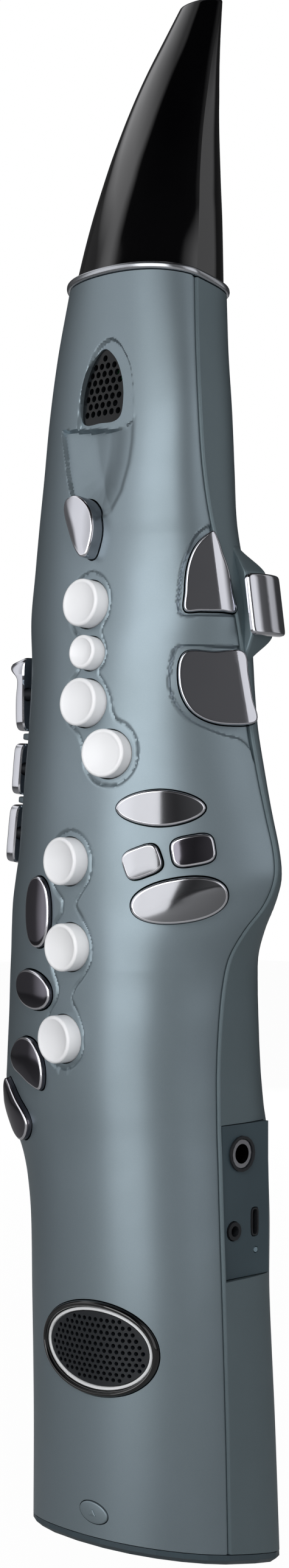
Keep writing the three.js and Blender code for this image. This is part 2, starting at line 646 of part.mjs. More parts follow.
// Inside, behind the keys and under the mouthpiece
const keyBoard = { below: 42, above: 32, left: -13, right: 17 };
const boardLow = station.lower - keyBoard.below;
const boardHigh = station.upper + keyBoard.above;
const post = { radius: 3, below: 12, count: 8 };
const postPlaces = [
  { across: -2, up: station.lower - post.below }, { across: 10, up: station.lower - post.below },
  { across: -4, up: (station.lower + station.upper) / 2 }, { across: -8, up: station.upper },
];
const collar = { below: 12, spigot: 7, bore: 1.7, edge: 0.4, room: 1 };
const tube = { radius: 2.6, bore: 1.5, length: 9 };
const sensor = { width: 12, depth: 9, height: 8 };
const beak = {
  length: 62, width: 18, depth: 18, rear: 12.5, tipDepth: 3.4, bore: 1.7, count: 20, lean: 0.127,
};
const beakShares = [[0, 1, 1], [0.3, 1, 0.96], [0.5, 0.97, 0.8], [0.75, 0.86, 0.45], [1, 0.72, 0.19]];
const capAxis = new THREE.Vector3(0, beak.lean, 1).normalize();

// Front shell: holes for the keys and grilles, posts for the board, bosses for the screws
const through = (outline, place, room = runGap) => plug(outline, place.at, room, -plateKey.sink - overrun, overrun * 2);
const frontHoles = [
  ...plates.map((key) => through(key.outline, key.place)),
  ...whites.map((key) => plug(key.outline, key.place.flatAt, runGap, -plateKey.sink - overrun, overrun * 2)),
  through(buttonOutline, buttonPlace),
  through(ventOutline, ventPlace, gap),
  pad(recessOutline, ventPlace.at, [[0, 1, -recess.depth], [0, 1, overrun]]),
  pad(scoopOutline, scoopPlace.at, scoopLevels),
  through(speakerOutline, speakerPlace, gap),
];
const palmHoles = palms.map((key) => plug(key.outline, key.at, runGap, -palmKey.sink - overrun, overrun * 2));
const sideHoles = sides.map((key) => rod(key.place.centre, key.place.axis, sideKey.stem + runGap,
  -sideKey.sink - overrun, sideKey.sink, stemCount));
const frontBase = halfShell(frontEdge, -wall, 0);
const skinDepth = wall / 2;
const trimmed = within(skin(rowHeights(baseHeight + gap, bodyHeight - gap).map((height) => bodyLoop(height, skinDepth))));
const screwBosses = screws.map(({ spot }) => {
  const section = bodySection(spot.z);
  const front = frontSpot(spot.x, spot.z);
  return rod(new THREE.Vector3(spot.x, 0, spot.z), backwards, screw.boss,
    front.y + skinDepth, Math.min(section.rear, spot.y) - screw.bossLength - gap, screwCount);
});
const screwSockets = screws.map(({ spot }) => rod(spot, backwards, screw.shank + screw.room,
  -screw.length - screw.headHeight - screw.room, -screw.bossLength + gap, screwCount));
const posts = postPlaces.map(({ across, up }) => rod(new THREE.Vector3(across, 0, up), backwards, post.radius,
  frontSpot(across, up).y + skinDepth, -boardDepth - gap, post.count));
const frontShell = cut(join(frontBase, [...screwBosses, ...posts].map(trimmed)),
  [...frontHoles, ...palmHoles, ...sideHoles, ...screwSockets]);

// Rear shell: panel window, cover window, boss of the block key, screw seats
const rearBase = halfShell(rearEdge, wall, gap);
const bossProfile = new THREE.Shape();
const bossFrom = blockUp - boss.below;
const bossTo = blockUp + boss.above;
bossProfile.moveTo(-boss.sunk, bossFrom);
const bossFace = (height) => boss.out - (height - blockUp) * blockKey.leanShare;
bossProfile.quadraticCurveTo(0, bossFrom, bossFace(bossFrom + boss.foot), bossFrom + boss.foot);
bossProfile.lineTo(bossFace(bossTo - boss.foot), bossTo - boss.foot);
bossProfile.quadraticCurveTo(0, bossTo, -boss.sunk, bossTo);
bossProfile.closePath();
const bossBlock = new THREE.ExtrudeGeometry(bossProfile, {
  depth: boss.depth, bevelEnabled: false, curveSegments: 4,
}).rotateX(Math.PI / 2).translate(wallX, boss.near + boss.depth, 0);
const panelWindow = block(wall * 4, panel.far - panel.near, panel.height,
  new THREE.Vector3(panelX, (panel.far + panel.near) / 2, station.sockets));
const coverRows = (room) => Array.from({ length: cover.rows + 1 }, (_, at) => (
  station.cover + (cover.height + room * 2) * (at / cover.rows - 1 / 2)));
const coverGrid = (out, room) => coverRows(room).map((up) => Array.from(
  { length: cover.columns + 1 },
  (_, at) => rearSpot((cover.half + room) * (1 - 2 * at / cover.columns), up)
    .add(new THREE.Vector3(0, out, 0))));
const shelfZ = batteryUp - battery.height / 2 - gap - shelf.thickness;
const shelfBlock = block(shelf.width, shelf.reach, shelf.thickness,
  new THREE.Vector3(0, rearSpot(0, shelfZ).y - shelf.reach / 2 - skinDepth, shelfZ + shelf.thickness / 2));
const rearBosses = screws.map(({ spot }) => rod(spot, backwards, screw.boss, -screw.bossLength, -skinDepth, screwCount));
const screwHoles = screws.map(({ spot }) => turned(spot, backwards, [
  [0, -screw.bossLength - overrun], [screw.shank + screw.room, -screw.bossLength - overrun],
  [screw.shank + screw.room, -screw.headHeight - screw.room], [screw.head + screw.room, -screw.headHeight - screw.room],
  [screw.head + screw.room, overrun], [0, overrun],
], screwCount));
const blockHole = rod(blockPlace.centre, blockPlace.axis, blockKey.stem + runGap,
  -blockKey.sink - overrun, overrun, stemCount);
const octaveHoles = octaves.map(({ place }) => rod(place.centre, place.axis, octave.stem + runGap,
  -octave.sink - overrun, overrun, stemCount));
const rearShell = cut(join(rearBase, [bossBlock, shelfBlock, ...rearBosses.map(trimmed)]), [
  panelWindow, sheet(coverGrid(overrun, gap), coverGrid(-wall - overrun / 2, gap)),
  blockHole, ...octaveHoles, ...screwHoles, ...palmHoles,
]);

// Long profile in the outward and upward directions of a place, made as wide as needed
function profiled(place, shape, width, segments) {
  const geometry = new THREE.ExtrudeGeometry(shape, {
    depth: width, bevelEnabled: false, curveSegments: segments,
  }).translate(0, 0, -width / 2);
  const basis = new THREE.Matrix4().makeBasis(place.axis, place.up, place.side.clone().negate());
  return closed(geometry).applyMatrix4(basis.setPosition(place.centre));
}

function hookShape() {
  const face = hook.off + hook.plate;
  const shape = new THREE.Shape();
  shape.moveTo(hook.off, -hook.length / 2);
  shape.lineTo(face, -hook.length / 2);
  shape.lineTo(face, -hook.rib);
  shape.quadraticCurveTo(face, 0, face + hook.rib, 0);
  shape.lineTo(hook.reach - hook.bar - hook.rib, 0);
  shape.quadraticCurveTo(hook.reach - hook.bar, 0, hook.reach - hook.bar, -hook.rib);
  shape.lineTo(hook.reach - hook.bar / 2, -hook.lip);
  shape.lineTo(hook.reach, -hook.lip);
  shape.lineTo(hook.reach, hook.bar - hook.rib);
  shape.quadraticCurveTo(hook.reach, hook.bar, hook.reach - hook.rib, hook.bar);
  shape.lineTo(face + hook.rib, hook.bar);
  shape.quadraticCurveTo(face, hook.bar, face, hook.bar + hook.rib);
  shape.lineTo(face, hook.length / 2);
  shape.lineTo(hook.off, hook.length / 2);
  return shape;
}

// The eye stands on its plate, with its hole across the body
const eyeOuter = strap.inner + strap.wire * 2;
const eyeOut = strap.off + strap.plate + strap.inner;
function eyeShape() {
  const shape = new THREE.Shape();
  shape.absarc(eyeOut, 0, eyeOuter, 0, Math.PI * 2);
  const hole = new THREE.Path();
  hole.absarc(eyeOut, 0, strap.inner, 0, Math.PI * 2);
  shape.holes.push(hole);
  return shape;
}
const eyeSegments = 16;
const plateOutline = oval(strap.plateWidth, strap.plateHeight, { power: 4, count: 20 });
const plateTop = strap.off + strap.plate;
const eyePlate = pad(plateOutline, strapPlace.flatAt, [[0, 1, strap.off], [0, 1, plateTop]]);
const eyeTrim = pad(plateOutline, strapPlace.flatAt, [[-eyeOuter, 1, -eyeOuter], [-eyeOuter, 1, strap.off]]);
const strapRing = join(
  cut(profiled(strapPlace, eyeShape(), strap.wire * 2, eyeSegments), [eyeTrim]), [eyePlate]);

// Levels of a key: straight sides through the wall, a soft edge and a slightly crowned top
const keyLevels = ({ rise, sink, edge, crown }) => [
  [0, 1, -sink], [0, 1, rise - edge], [edge, 1, rise], [edge, 3 / 5, rise + crown],
];
const whiteLevels = (radius, foot) => [
  [0, whiteKey.stem / radius, foot], [0, whiteKey.stem / radius, -whiteKey.sink], [0, 1, -whiteKey.sink],
  [0, 1, whiteKey.rise - whiteKey.edge], [whiteKey.edge, 1, whiteKey.rise],
  [whiteKey.edge, 1 / 2, whiteKey.rise - whiteKey.dish],
];
const whiteFoot = ({ centre, axis }) => (centre.y + boardDepth) / Math.abs(axis.y) + keyTravel + whiteKey.stem / 2;

// A palm key's top follows the corner that it wraps: it falls away past its crease
const crease = { startShare: 0.17, leanShare: 0.09, fallShare: 0.55 };
function palmAt(key) {
  const width = Math.max(...key.outline.map(([x]) => x)) * 2;
  return (right, rise, out) => {
    const past = right - width * crease.startShare + rise * crease.leanShare;
    return key.at(right, rise, out > 0 && past > 0 ? out - past * crease.fallShare : out);
  };
}

const finishes = {
  shell: { color: 0x7d8c94, roughness: 0.42, metalness: 0.55 },
  dark: { color: 0x39484e, roughness: 0.5, metalness: 0.4 },
  silver: { color: 0xb9bcc2, roughness: 0.25, metalness: 1 },
  gloss: { color: 0x08080a, roughness: 0.08, metalness: 0 },
  black: { color: 0x141518, roughness: 0.55, metalness: 0 },
  white: { color: 0xf1f2f4, roughness: 0.35, metalness: 0 },
  chrome: { color: 0xc9cbd0, roughness: 0.08, metalness: 1 },
  smoke: { color: 0x4c4a50, roughness: 0.15, metalness: 1 },
  board: { color: 0x1d5a38, roughness: 0.6, metalness: 0.1 },
  cell: { color: 0x39608c, roughness: 0.5, metalness: 0.1 },
  amber: { color: 0x9fb6c4, roughness: 0.3, metalness: 0 },
};
const root = new THREE.Group();
function piece(name, geometry, finish) {
  const mesh = new THREE.Mesh(geometry, new THREE.MeshStandardMaterial(finishes[finish]));
  mesh.name = name;
  root.add(mesh);
}

piece('front_shell', frontShell, 'shell');
piece('rear_shell', rearShell, 'shell');

const foot = { chamfer: 2.2, chamferHeight: 1.6, lipHeight: 4 };
piece('base_cap', skin([
  bodyLoop(0, foot.chamfer), bodyLoop(foot.chamferHeight, 0), bodyLoop(baseHeight, 0),
  bodyLoop(baseHeight, wall + gap), bodyLoop(baseHeight + foot.lipHeight, wall + gap),
]), 'dark');
piece('trim_ring', skin([
  bodyLoop(bodyHeight, -ringProud), bodyLoop(bodyHeight + ringHeight, -ringProud),
  bodyLoop(bodyHeight + ringHeight, wall), bodyLoop(bodyHeight, wall),
], true), 'silver');

const spigotTop = capStart + collar.spigot;
const collarLow = bodyHeight - collar.below;
piece('top_collar', cut(skin([
  bodyLoop(collarLow, wall + collar.room), bodyLoop(bodyHeight + ringHeight, wall + collar.room),
  capLoop(capStart, capWall + collar.edge), capLoop(spigotTop, capWall + collar.edge),
]), [rod(new THREE.Vector3(), new THREE.Vector3(0, 0, 1), collar.bore, collarLow - overrun,
  spigotTop + overrun, stemCount)]), 'black');
piece('mouthpiece_cap', skin([capInnerTop, ...capInner, ...capOuter]), 'gloss');

// Mouthpiece: a beak that thins towards its tip, with the breath bore through it
const beakBase = spigotTop + gap;
const beakRear = (height) => beak.rear + beak.lean * (height - beakBase);
const beakLoops = beakShares.map(([share, wide, deep]) => {
  const height = beakBase + beak.length * share;
  const depth = beak.depth * deep;
  return raise(oval(beak.width * wide, depth, { count: beak.count })
    .map(([x, y]) => [x, y + beakRear(height) - depth / 2]), height);
});
const beakTop = beakBase + beak.length;
const boreStart = new THREE.Vector3(0, beakRear(beakBase) - beak.depth / 2, beakBase);
const boreEnd = new THREE.Vector3(0, beakRear(beakTop) - beak.tipDepth / 2, beakTop);
piece('mouthpiece', cut(skin(beakLoops), [rod(boreStart, boreEnd.clone().sub(boreStart),
  beak.bore / 2, -overrun, beak.length + overrun * 2, stemCount)]), 'black');

const tubeTop = lift(collarLow, tube.radius) - gap;
piece('breath_tube', turned(new THREE.Vector3(0, 0, tubeTop), new THREE.Vector3(0, 0, 1), [
  [tube.bore, -tube.length], [tube.radius, -tube.length], [tube.radius, 0], [tube.bore, 0],
  [tube.bore, -tube.length],
], screwCount), 'black');
piece('breath_sensor', block(sensor.width, sensor.depth, sensor.height,
  new THREE.Vector3(0, 0, tubeTop - tube.length - gap - sensor.height / 2)), 'board');

const ventFace = pad(ventOutline, ventPlace.at, [[0, 1, -vent.sink], [0, 1, -vent.face]]);
piece('vent_grille', cut(ventFace, grilleHoles(inset(ventOutline, vent.rim, true), ventPlace, vent,
  -vent.sink - overrun, overrun)), 'black');

const ringInset = speaker.bezel + gap;
const grilleInset = ringInset + speaker.ring + gap;
const band = (levels) => skin(levels.map(([step, out]) => inset(speakerOutline, step, true)
  .map(([x, y]) => speakerPlace.at(x, y, out))), true);
piece('speaker_bezel', band([
  [0, -speaker.sink], [0, 0], [speaker.bezel / 2, speaker.proud], [speaker.bezel, 0],
  [speaker.bezel, -speaker.sink],
]), 'gloss');
piece('speaker_ring', band([
  [ringInset, -speaker.sink], [ringInset, 0], [ringInset + speaker.ring, 0],
  [ringInset + speaker.ring, -speaker.sink],
]), 'white');
const grilleOutline = inset(speakerOutline, grilleInset, true);
piece('speaker_grille', cut(
  pad(grilleOutline, speakerPlace.at, [[0, 1, -speaker.sink], [0, 1, speaker.grille - speaker.sink]]),
  grilleHoles(inset(grilleOutline, speaker.ring, true), speakerPlace, speaker, -speaker.sink - overrun, overrun),
), 'black');
piece('speaker_driver', turned(speakerPlace.centre, speakerPlace.axis, [
  [0, -driver.stand - driver.cone - driver.depth], [driver.magnet, -driver.stand - driver.cone - driver.depth],
  [driver.magnet, -driver.stand - driver.cone], [driver.back, -driver.stand - driver.cone],
  [driver.radius, -driver.stand], [0, -driver.stand],
], beak.count), 'black');

plates.forEach((key) => piece(key.name, pad(key.outline, key.place.at, keyLevels({
  ...plateKey, rise: key.rise,
})), key.around < 0 ? 'smoke' : 'chrome'));
whites.forEach((key) => piece(key.name, pad(key.outline, key.place.flatAt,
  whiteLevels(key.radius, whiteFoot(key.place))), 'white'));
palms.forEach((key) => piece(key.name, pad(key.outline, palmAt(key), keyLevels(palmKey)), 'chrome'));

const clear = keyTravel + gap * 2;
const blockOutline = oval(blockKey.width, blockKey.height, { power: 6, count: 24 });
piece('palm_key_2', join(pad(blockOutline, blockPlace.at, [
  [0, 1, clear], [0, 1, clear + blockKey.thickness - blockKey.edge], [blockKey.edge, 1, clear + blockKey.thickness],
]), [rod(blockPlace.centre, blockPlace.axis, blockKey.stem, -blockKey.sink, clear + skinDepth, stemCount)]), 'chrome');
sides.forEach((key) => {
  const outline = oval(sideKey.width, key.height, { power: 6, count: 20 });
  const top = sideKey.standOff + sideKey.thickness;
  piece(key.name, join(pad(outline, key.place.at, [
    [0, 1, sideKey.standOff], [0, 1, top - sideKey.edge], [sideKey.edge, 1, top],
  ]), [rod(key.place.centre, key.place.axis, sideKey.stem, -sideKey.sink,
    sideKey.standOff + skinDepth, stemCount)]), 'chrome');
});
piece('low_button', pad(buttonOutline, buttonPlace.at, [
  [0, 1, -button.sink], [0, 1, button.rise]]), 'shell');

// Sockets
const usbOutline = (room) => oval(usb.width + room * 2, usb.height + room * 2, { power: 4, count: 16 });
const usbPlace = flatPlace(panelSpot(usb), sideways);
piece('socket_panel', cut(block(panel.thickness, panel.far - panel.near - gap * 2,
  panel.height - gap * 2,
  new THREE.Vector3(panelX - panel.thickness / 2, (panel.far + panel.near) / 2, station.sockets)), [
  rod(panelSpot(output), sideways, output.bush + gap, -overrun, overrun, eyeSegments),
  rod(panelSpot(phones), sideways, phones.bush + gap, -overrun, overrun, eyeSegments),
  rod(panelSpot(lamp), sideways, lamp.radius + gap, -overrun, overrun, stemCount),
  plug(usbOutline(gap), usbPlace.at, 0, -overrun, overrun),
]), 'dark');
const behind = -panel.thickness - gap;
piece('output_socket', turned(panelSpot(output), sideways, [
  [0, -output.depth], [output.body, -output.depth], [output.body, behind], [output.bush, behind],
  [output.bush, output.proud / 2], [output.bore, output.proud / 2], [output.bore, -output.boreDepth],
  [0, -output.boreDepth],
], eyeSegments * 2), 'chrome');
piece('output_nut', turned(panelSpot(output), sideways, [
  [output.bush + gap, gap], [output.nut, gap], [output.nut, output.proud],
  [output.bush + gap, output.proud], [output.bush + gap, gap],
], eyeSegments), 'black');
piece('phones_socket', turned(panelSpot(phones), sideways, [
  [0, -phones.depth], [phones.body, -phones.depth], [phones.body, behind], [phones.bush, behind],
  [phones.bush, phones.proud], [phones.bore, phones.proud], [phones.bore, -phones.boreDepth],
  [0, -phones.boreDepth],
], eyeSegments), 'black');
piece('usb_socket', cut(
  pad(usbOutline(0), usbPlace.at, [[0, 1, -usb.depth], [0, 1, usb.proud]]),
  [plug(usbOutline(-usb.rim), usbPlace.at, 0, -usb.slotDepth, overrun)]), 'silver');
piece('status_lamp', rod(panelSpot(lamp), sideways, lamp.radius, -lamp.depth, lamp.proud, stemCount), 'amber');
const socketTop = Math.min(output.y - output.body, phones.y - phones.body) - gap;
piece('socket_board', block(board.width, board.thickness, board.height, new THREE.Vector3(
  panelX + behind - board.width / 2, socketTop - board.thickness / 2, station.sockets + board.off)), 'board');
piece('key_board', block(keyBoard.right - keyBoard.left, board.thickness, boardHigh - boardLow,
  new THREE.Vector3((keyBoard.right + keyBoard.left) / 2, board.thickness / 2 - boardDepth,
    (boardHigh + boardLow) / 2)), 'board');

// The back
piece('service_cover', sheet(coverGrid(0, -gap), coverGrid(-cover.thickness, -gap)), 'dark');
const cellOutline = oval(battery.width, battery.depth, { power: battery.power, count: 24 });
const cellY = rearSpot(0, batteryUp).y - battery.off - battery.depth / 2;
piece('battery_pack', skin([-1, 1].map((end) => cellOutline.map(([x, y]) => new THREE.Vector3(
  x, y + cellY, batteryUp + end * battery.height / 2)))), 'cell');
piece('thumb_hook', profiled(hookPlace, hookShape(), hook.width, stemCount / 2), 'dark');
piece('strap_ring', strapRing, 'silver');
const thumbPlace = rearPlace(0, thumbUp);
piece('thumb_rest', pad(oval(thumb.width, thumb.height, { power: 2.6, count: 24 }), thumbPlace.flatAt, [
  [0, 1, thumb.off], [0, 1, thumb.rise - thumb.off], [thumb.off * 2, 1, thumb.rise],
]), 'black');
octaves.forEach(({ name, place }) => {
  const low = octave.travel + gap * 2;
  piece(name, join(pad(oval(octave.width, octave.height, { power: 3, count: 22 }), place.flatAt, [
    [0, 1, low], [0, 1, low + octave.rise - plateKey.edge], [plateKey.edge, 1, low + octave.rise],
  ]), [rod(place.centre, place.axis, octave.stem, -octave.sink, low + skinDepth, stemCount)]), 'chrome');
});
screws.forEach(({ name, spot }) => piece(name, turned(spot, backwards, [
  [0, -screw.length], [screw.shank, -screw.length], [screw.shank, -screw.headHeight],
  [screw.head, -screw.headHeight], [screw.head, 0], [0, 0],
], screwCount), 'silver'));

// The origin is the middle of the strap ring's hole
const origin = strapPlace.flatAt(0, 0, eyeOut);
root.position.copy(origin).negate();
export default root;
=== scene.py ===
"""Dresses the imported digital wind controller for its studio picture.

The moulded body is drawn from the same table of sections as the solids. Lengths
are millimetres in the part's own upright frame until a mesh is made, which then
goes to metres in the row frame.
"""
import math

import bpy
import numpy as np
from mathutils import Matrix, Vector


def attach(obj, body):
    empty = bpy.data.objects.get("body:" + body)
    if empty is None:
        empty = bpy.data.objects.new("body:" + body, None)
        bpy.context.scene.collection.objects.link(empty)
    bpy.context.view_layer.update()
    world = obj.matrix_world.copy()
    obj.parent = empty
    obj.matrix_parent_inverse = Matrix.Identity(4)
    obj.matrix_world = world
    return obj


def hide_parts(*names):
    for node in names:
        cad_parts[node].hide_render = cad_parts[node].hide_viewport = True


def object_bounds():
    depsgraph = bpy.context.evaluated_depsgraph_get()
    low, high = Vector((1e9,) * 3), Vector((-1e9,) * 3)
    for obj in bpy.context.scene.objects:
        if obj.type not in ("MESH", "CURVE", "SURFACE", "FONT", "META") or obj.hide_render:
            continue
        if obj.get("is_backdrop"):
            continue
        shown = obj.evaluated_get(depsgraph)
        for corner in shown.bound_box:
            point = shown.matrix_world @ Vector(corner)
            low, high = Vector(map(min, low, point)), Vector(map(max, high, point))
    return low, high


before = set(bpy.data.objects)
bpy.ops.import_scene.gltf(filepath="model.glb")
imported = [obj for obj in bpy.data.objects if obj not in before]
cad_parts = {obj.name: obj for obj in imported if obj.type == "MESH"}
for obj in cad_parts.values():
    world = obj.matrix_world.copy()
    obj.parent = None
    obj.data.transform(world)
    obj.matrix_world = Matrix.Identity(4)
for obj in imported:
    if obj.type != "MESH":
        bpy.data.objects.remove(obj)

bl_info = {
    "name": "Wind controller dresser",
    "version": (1, 0, 0),
    "blender": (4, 5, 0),
    "location": "3D View > Sidebar > Wind controller",
    "description": "Builds the detailed pieces, materials and studio of the wind controller",
    "category": "Object",
}

MM = 0.001
ORIGIN = np.array((0.0, 22.4812, 268.5302))

# Sizes of the moulded body, as in the solids
BODY_HEIGHT = 426.0
HALF_WIDTH = 40.0
FRONT_DEPTH = 32.0
REAR_DEPTH = 36.0
WALL = 2.4
SKIN = 2.2
GAP = 0.3  # round fixed pieces
RUN_GAP = 0.4  # round keys
BASE_HEIGHT = 3.4
BASE_SLOPE = 0.21
BASE_FADE = 70.0
TOP_SLOPE = 0.17
TOP_FADE = 60.0
KEY_TRAVEL = 1.8

# Share of the height, then shares of the half width (right, left), of the rear
# depth (seam right, seam left), of the front depth and of the rear depth
BODY_SHARES = [
    (0.00, 0.995, 0.985, 0.083, 0.083, 0.970, 1.080),
    (0.10, 1.002, 0.965, 0.042, 0.042, 0.970, 1.000),
    (0.20, 0.998, 0.975, 0.000, 0.000, 0.970, 0.918),
    (0.26, 0.970, 0.995, 0.000, 0.000, 0.970, 0.955),
    (0.29, 0.958, 1.050, 0.000, 0.000, 0.970, 0.955),
    (0.31, 0.950, 1.130, 0.000, 0.000, 0.970, 0.955),
    (0.33, 0.940, 1.270, 0.000, 0.000, 0.975, 0.950),
    (0.35, 0.935, 1.370, 0.000, 0.000, 0.985, 0.900),
    (0.38, 0.933, 1.355, 0.000, 0.000, 0.995, 0.850),
    (0.42, 0.960, 1.320, 0.000, 0.000, 1.000, 0.780),
    (0.45, 0.983, 1.305, 0.028, 0.000, 1.000, 0.730),
    (0.47, 1.030, 1.290, 0.056, 0.000, 1.000, 0.670),
    (0.49, 1.138, 1.280, 0.125, 0.000, 1.000, 0.600),
    (0.51, 1.263, 1.262, 0.236, 0.000, 1.000, 0.530),
    (0.53, 1.350, 1.215, 0.264, 0.000, 1.000, 0.485),
    (0.55, 1.348, 1.165, 0.264, 0.000, 0.995, 0.450),
    (0.58, 1.293, 1.130, 0.222, 0.000, 0.985, 0.420),
    (0.61, 1.238, 1.095, 0.181, 0.000, 0.970, 0.400),
    (0.65, 1.175, 1.050, 0.139, 0.000, 0.940, 0.375),
    (0.70, 1.140, 1.038, 0.083, 0.000, 0.890, 0.380),
    (0.74, 1.140, 1.065, -0.028, -0.028, 0.845, 0.400),
    (0.78, 1.040, 0.995, -0.097, -0.097, 0.800, 0.410),
    (0.81, 0.968, 0.955, -0.139, -0.139, 0.750, 0.430),
    (0.85, 0.910, 0.895, -0.167, -0.167, 0.700, 0.480),
    (0.90, 0.863, 0.840, -0.167, -0.167, 0.640, 0.500),
    (0.95, 0.788, 0.780, -0.111, -0.111, 0.580, 0.525),
    (1.00, 0.705, 0.690, -0.028, -0.028, 0.515, 0.585),
]
WIDEST_LEFT_SHARE = 1.368
CROWN_RIGHT_SHARE = 0.64
CROWN_LEFT_SHARE = 0.72
FLANK_RIGHT_SHARE = 0.96
FLANK_LEFT_SHARE = 1.02
FLANK_RISE_SHARE = 0.52
BULGE_CROWN_SHARE = 0.5
BULGE_FLANK_SHARE = 0.25
BACK_WALL_SHARE = 1.0
BACK_FLAT_SHARE = 0.92

# Mouthpiece cap
RING_HEIGHT = 2.4
RING_PROUD = 1.0
RING_ROUND = 0.6
CAP_HEIGHT = 103.0
CAP_HALF_WIDTH = 27.2
CAP_REACH = 33.0
CAP_FRONT_SHARE = 0.6
CAP_FLANK_SHARE = 0.9
CAP_START = BODY_HEIGHT + RING_HEIGHT + GAP
CAP_WALL = 2.2
CAP_EDGE = 1.0
CAP_ROOF = 3.0
CAP_SHARES = [
    (0.00, 0.985, 0.020, 0.620), (0.13, 0.929, 0.092, 0.645), (0.235, 0.873, 0.154, 0.672),
    (0.325, 0.815, 0.212, 0.694), (0.43, 0.750, 0.292, 0.720), (0.53, 0.686, 0.384, 0.746),
    (0.645, 0.613, 0.506, 0.790), (0.755, 0.534, 0.636, 0.840), (0.88, 0.436, 0.801, 0.915),
    (1.00, 0.335, 0.955, 1.005),
]

# Keys: distance round the front from its middle, height, and their sizes
WHITE_KEYS = [
    (3.4, 317.0, 7.95), (5.4, 300.5, 5.6), (4.8, 284.0, 7.95), (14.9, 267.0, 7.95),
    (-0.9, 231.7, 7.95), (-0.2, 203.3, 7.95), (-3.7, 172.7, 7.95),
]
WHITE_RISE = 4.7
WHITE_SINK = 4.5
WHITE_EDGE = 0.9
WHITE_DISH = 1.1
WHITE_SHARES = (0.97, 0.93, 0.89, 0.84, 0.76, 0.64, 0.5, 0.36, 0.22, 0.1, 0.0)
TEARDROP_SHARES = [
    (-0.1, 0.5), (0.15, 0.4), (0.35, 0.24), (0.46, -0.02), (0.45, -0.24), (0.33, -0.48),
    (0.18, -0.5), (0.0, -0.4), (-0.26, -0.12), (-0.53, 0.3), (-0.5, 0.44), (-0.34, 0.5),
]
LEAF_SHARES = [
    (-0.53, 0.08), (-0.36, 0.36), (-0.1, 0.5), (0.2, 0.44), (0.4, 0.16), (0.47, -0.2), (0.4, -0.5),
    (0.14, -0.44), (-0.12, -0.3), (-0.42, -0.14),
]
DROP_SHARES = [
    (-0.42, 0.5), (-0.2, 0.42), (0.1, 0.2), (0.4, -0.02), (0.5, -0.2), (0.4, -0.4), (0.16, -0.5),
    (-0.14, -0.42), (-0.36, -0.2), (-0.5, 0.1), (-0.54, 0.36),
]
FIN_SHARES = [
    (0.05, 0.65), (-0.124, 0.58), (-0.25, 0.49), (-0.34, 0.39), (-0.42, 0.24), (-0.46, 0.1), (-0.48, -0.1),
    (-0.48, -0.35), (-0.2, -0.355), (0.2, -0.355), (0.48, -0.35), (0.42, -0.1), (0.36, 0.146), (0.3, 0.27),
    (0.226, 0.39), (0.15, 0.54),
]
PALM_SHARES = [
    (-0.36, 0.5), (0, 0.5), (0.39, 0.5), (0.45, 0.18), (0.5, -0.14), (0.555, -0.46), (0.2, -0.52), (-0.1, -0.46),
    (-0.3, -0.32), (-0.42, -0.1), (-0.46, 0.14), (-0.44, 0.38),
]
ARCH_SHARES = [
    (0, 0.54), (0.24, 0.4), (0.4, 0.14), (0.46, -0.16), (0.42, -0.4), (0.3, -0.46), (0, -0.46),
    (-0.3, -0.46), (-0.42, -0.4), (-0.46, -0.16), (-0.4, 0.14), (-0.24, 0.4),
]
PLATE_SINK = 5.4
PLATE_KEYS = [
    dict(name="front_key", around=0.4, up=342.4, rise=5.0, width=15, height=21, shares=TEARDROP_SHARES, crown=0.9),
    dict(name="table_key_1", around=33.3, up=249.2, rise=2.0, width=30, height=12, power=1.8, crown=0.2,
         crease=-2.6),
    dict(name="table_key_2", around=27.7, up=231.7, rise=2.2, width=13, height=10, power=3.6, turn=20, crown=0.5),
    dict(name="table_key_3", around=44.2, up=235.4, rise=2.2, width=14.4, height=10, power=3.6, turn=10, crown=0.2),
    dict(name="table_key_4", around=39.8, up=219.2, rise=2.6, width=32.4, height=14.6, power=2.2, taper=0.06,
         turn=8, crown=0.9),
    dict(name="low_key_1", around=-16.6, up=214.5, rise=1.6, width=14.2, height=24, power=2.3, crown=0.4),
    dict(name="low_key_2", around=-19.9, up=188.2, rise=1.6, width=22, height=13, power=2.1, turn=-10, crown=0.4),
    dict(name="low_key_3", around=-23.3, up=163.4, rise=1.8, width=22, height=17, shares=LEAF_SHARES, crown=0.5),
    dict(name="low_key_4", around=-31.8, up=146.6, rise=2.2, width=19, height=20.4, shares=DROP_SHARES, crown=0.5),
]
PALM_TURN = 42.0
PALM_RISE = 2.6
PALM_SINK = 6.5
PALM_EDGE = 0.6
PALM_KEYS = [
    dict(name="palm_key_1", around=47.4, up=322.4, width=17.5, height=26, shares=FIN_SHARES, crease=2.2, lean=0.13,
         curl=0.03),
    dict(name="palm_key_3", around=49.6, up=288.4, width=25.4, height=23.4, shares=PALM_SHARES, crease=9.3,
         lean=0.17, curl=0.0),
]
CREASE_FALL = 0.42
PLATE_FALL = 0.07
PLATE_FALL_START = 0.3
PLATE_EDGE = 0.8
CROWN_SHARE = 0.6
PLATE_POINTS = 80
# Rows of a plate's rounded edge that take the painted rim highlight
HIGHLIGHT_ROWS = (3, 4, 5, 6)
STEM_LAP = 0.3
BUTTON = dict(around=9.3, up=12.5, width=11.4, height=7.6, turn=-12, rise=0.5, sink=4.6, edge=0.4, crown=0.15)
BEZEL = dict(width=2.0, proud=1.5, lift=0.02, depth=2.4)
BADGE_RING = [(2.3, -2.4), (2.3, -0.25), (2.5, 0.0), (3.2, 0.0), (3.4, -0.25), (3.4, -2.4)]
MARK = [(-1.3, -1.1), (1.3, -1.1), (0.0, 1.3)]
MARK_LEVELS = [(0.0, 1.0, 0.3), (0.0, 1.0, 0.82), (0.12, 1.0, 0.88), (0.12, 0.0, 0.88)]
VENT_GRILLE = dict(pitch=2.9, radius=1.05, room=1.25, face=-1.9, thickness=1.2, rim=0.0)
